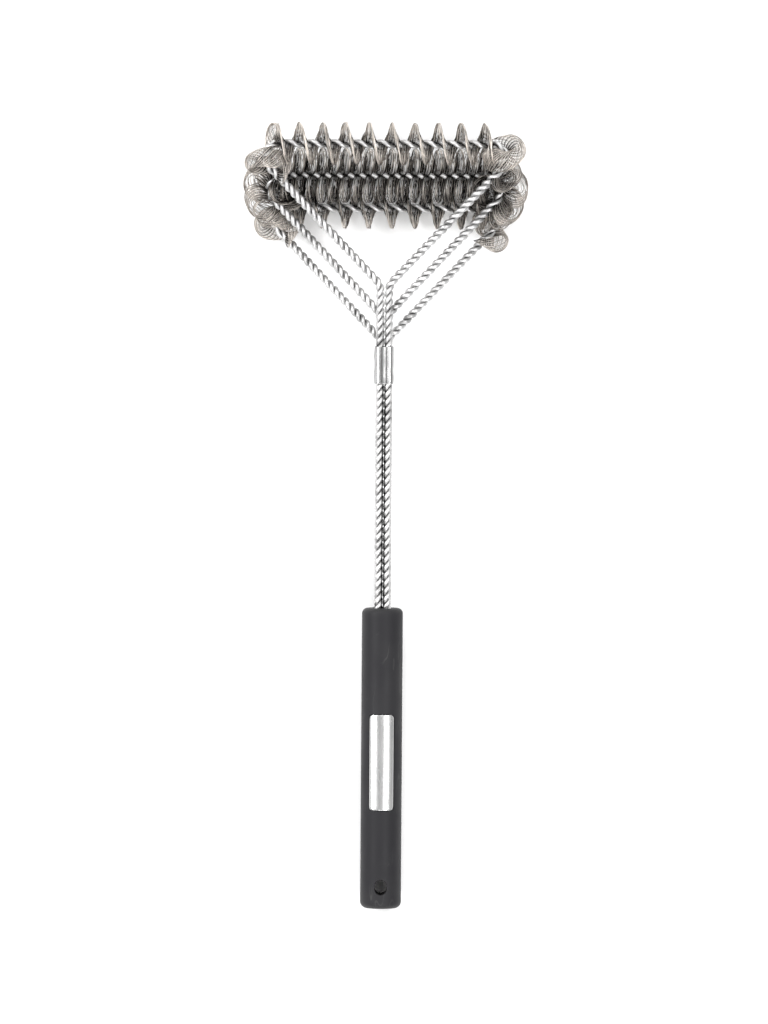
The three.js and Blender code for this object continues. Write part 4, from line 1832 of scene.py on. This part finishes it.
@dataclass
class Studio:
    """A pale floor, soft lights and the camera above the brush.

    Attributes:
        height: Height of the camera above the floor.
        frame_height: Height of the picture at the brush, in metres.
        roll: Turn of the camera about its own axis.
        aim: Point of the floor at the middle of the picture.
        floor_half: Half the width of the floor.
        floor_tone: Its reflectance.
        surroundings: Tone of the surroundings.
        surroundings_strength: How strongly they light the brush.
        lights: The lights.
    """

    height: float = 8.0
    frame_height: float = 0.597
    roll: float = math.radians(0.4)
    aim: tuple[float, float] = (0.0005, 0.0019)
    floor_half: float = 3.0
    floor_tone: float = 0.97
    surroundings: float = 0.9
    surroundings_strength: float = 0.46
    lights: tuple[Light, ...] = (
        Light("key_left", (-1.05, 0.3, 1.15), (0.55, 1.2), 21.0),
        Light("strip_right", (0.6, 0.0, 1.2), (0.22, 1.4), 9.5),
        Light("foot", (0.1, -1.2, 1.1), (1.0, 0.4), 11.0),
        Light("head", (0.1, 1.35, 1.1), (1.0, 0.4), 8.0),
        Light("overhead", (0.0, 0.25, 1.7), (0.16, 0.7), 0.8),
    )

    def floor(self) -> None:
        """A wide plain floor under the brush."""
        half = self.floor_half
        points = np.array([[-half, -half, 0], [half, -half, 0], [half, half, 0], [-half, half, 0]])
        made = make_piece("floor", points, [[0, 1, 2, 3]], smooth=False)
        material, _, shader = new_material("pale_floor")
        shader.inputs["Base Color"].default_value = grey(self.floor_tone)
        shader.inputs["Roughness"].default_value = 0.9
        made.data.materials.append(material)

    def hang(self, light: Light) -> None:
        """Hangs a light so that it faces the middle of the brush, with its height along the brush.

        Args:
            light: The light.
        """
        data = bpy.data.lights.new(light.name, "AREA")
        data.shape = "RECTANGLE"
        data.size, data.size_y = light.size
        data.energy = light.watts
        lamp = bpy.data.objects.new(light.name, data)
        lamp.visible_camera = False
        lamp.location = light.place
        away = Vector(light.place).normalized()
        across = Vector((0.0, 1.0, 0.0)).cross(away).normalized()
        lamp.rotation_euler = Matrix((across, away.cross(across), away)).transposed().to_euler()
        bpy.context.scene.collection.objects.link(lamp)

    def camera(self) -> None:
        """A long lens that looks straight down, so that the picture takes in the frame's height."""
        data = bpy.data.cameras.new("camera")
        data.sensor_fit = "VERTICAL"
        data.sensor_height = 36.0
        data.lens = data.sensor_height * self.height / self.frame_height
        made = bpy.data.objects.new("camera", data)
        made.location = (*self.aim, self.height)
        made.rotation_euler = (0.0, 0.0, self.roll)
        bpy.context.scene.collection.objects.link(made)
        bpy.context.scene.camera = made

    def build(self) -> None:
        """Sets up the floor, the lights, the surroundings and the camera."""
        self.floor()
        for light in self.lights:
            self.hang(light)
        world = bpy.data.worlds.new("studio")
        world.use_nodes = True
        background = world.node_tree.nodes["Background"]
        background.inputs["Color"].default_value = grey(self.surroundings)
        background.inputs["Strength"].default_value = self.surroundings_strength
        bpy.context.scene.world = world
        bpy.context.scene.view_settings.view_transform = "Standard"
        self.camera()


# ------------------------------------------------------------------------------------------------------------
# Assembly
# ------------------------------------------------------------------------------------------------------------


def dress_hidden_nodes(materials: dict[str, bpy.types.Material]) -> None:
    """Gives each CAD node that stays its material.

    Args:
        materials: Material by node name.
    """
    for node, material in materials.items():
        mesh = frame["nodes"][node].data
        mesh.materials.clear()
        mesh.materials.append(material)
        log.info("kept %s from CAD", node)


def main() -> None:
    """Builds the brush and its studio, and reports each piece."""
    logging.basicConfig(level=logging.INFO, format="%(message)s")
    effects = SharedEffects.build()
    rope_steel = SteelFinish(
        name="drawn_core_wire", bright=0.7, dull=0.03, warmth=0.004, polish=(0.4, 0.5),
        space=Space.WIRE, fineness=6000, stretch=0.02, depth=0.001 * MM, shade="crevice",
    )
    coil_steel = SteelFinish(
        name="fine_coil_wire", bright=0.82, dull=0.006, warmth=0.08, polish=(0.32, 0.46),
        space=Space.WIRE, fineness=6000, stretch=0.02, depth=0.0005 * MM, shade="shaded", tone="ring_tone",
    )
    # The sleeve's crease attribute is painted shade in its creases and near its sides.
    ferrule_steel = SteelFinish(
        name="bright_sleeve", bright=0.8, dull=0.05, warmth=0.002, polish=(0.2, 0.28),
        space=Space.OBJECT, fineness=2500, stretch=0.03, depth=0.0006 * MM, shade="crease", unevenness=0.3,
    )
    plate_steel = SteelFinish(
        name="brushed_plate", bright=0.78, dull=0.45, warmth=0.0, polish=(0.24, 0.3),
        space=Space.OBJECT, fineness=6000, stretch=0.01, depth=0.0004 * MM, unevenness=0.35,
    )
    plastic = PlasticFinish(
        name="charcoal_moulding", colour=(0.0225, 0.022, 0.0245, 1), worn=grey(0.055),
        polish=(0.45, 0.56), grain=2200, depth=0.02 * MM, shade="rubbed",
    )
    foam = PlasticFinish(
        name="foam_tape", colour=(0.02, 0.02, 0.02, 1), worn=(0.05, 0.05, 0.05, 1),
        polish=(0.8, 0.95), grain=900, depth=0.08 * MM,
    )
    resin = PlasticFinish(
        name="cast_resin", colour=(0.42, 0.3, 0.11, 1), worn=(0.5, 0.4, 0.2, 1),
        polish=(0.2, 0.35), grain=400, depth=0.02 * MM,
    )

    axes = BrushAxes.from_record(frame["record"])
    stem = Stem(axes)
    heads = [
        Head(
            stem, Tier.FAR, half_width=80.4 * MM, bend_rise=36 * MM, bend_radius=9 * MM,
            coils={"coil": 0},
        ),
        Head(
            stem, Tier.MIDDLE, half_width=78 * MM, bend_rise=19 * MM, bend_radius=9 * MM,
            coils={"coil": 0, "second_coil": 1},
        ),
        Head(
            stem, Tier.NEAR, half_width=75 * MM, bend_rise=4.4 * MM, bend_radius=6.5 * MM,
            coils={"coil": 1},
        ),
    ]
    rope_material, coil_material = rope_steel.material(effects), coil_steel.material(effects)
    sleeve_material = ferrule_steel.material(effects)
    pieces = [piece for head in heads for piece in head.build(rope_material, coil_material)]
    pieces.append(Ferrule(stem, "stem_ferrule").build(sleeve_material))
    grip = Grip(stem)
    pieces.append(grip.build(plastic.material(effects)))
    pieces.append(grip.plate.build(plate_steel.material(effects)))
    for piece in pieces:
        log.info("%s: %d faces", piece.name, len(piece.data.polygons))
    dress_hidden_nodes({
        "anchor_ferrule": sleeve_material,
        "nameplate_adhesive": foam.material(effects),
        "socket_bonding_resin": resin.material(effects),
    })
    Studio().build()


if __name__ == "__main__":
    main()
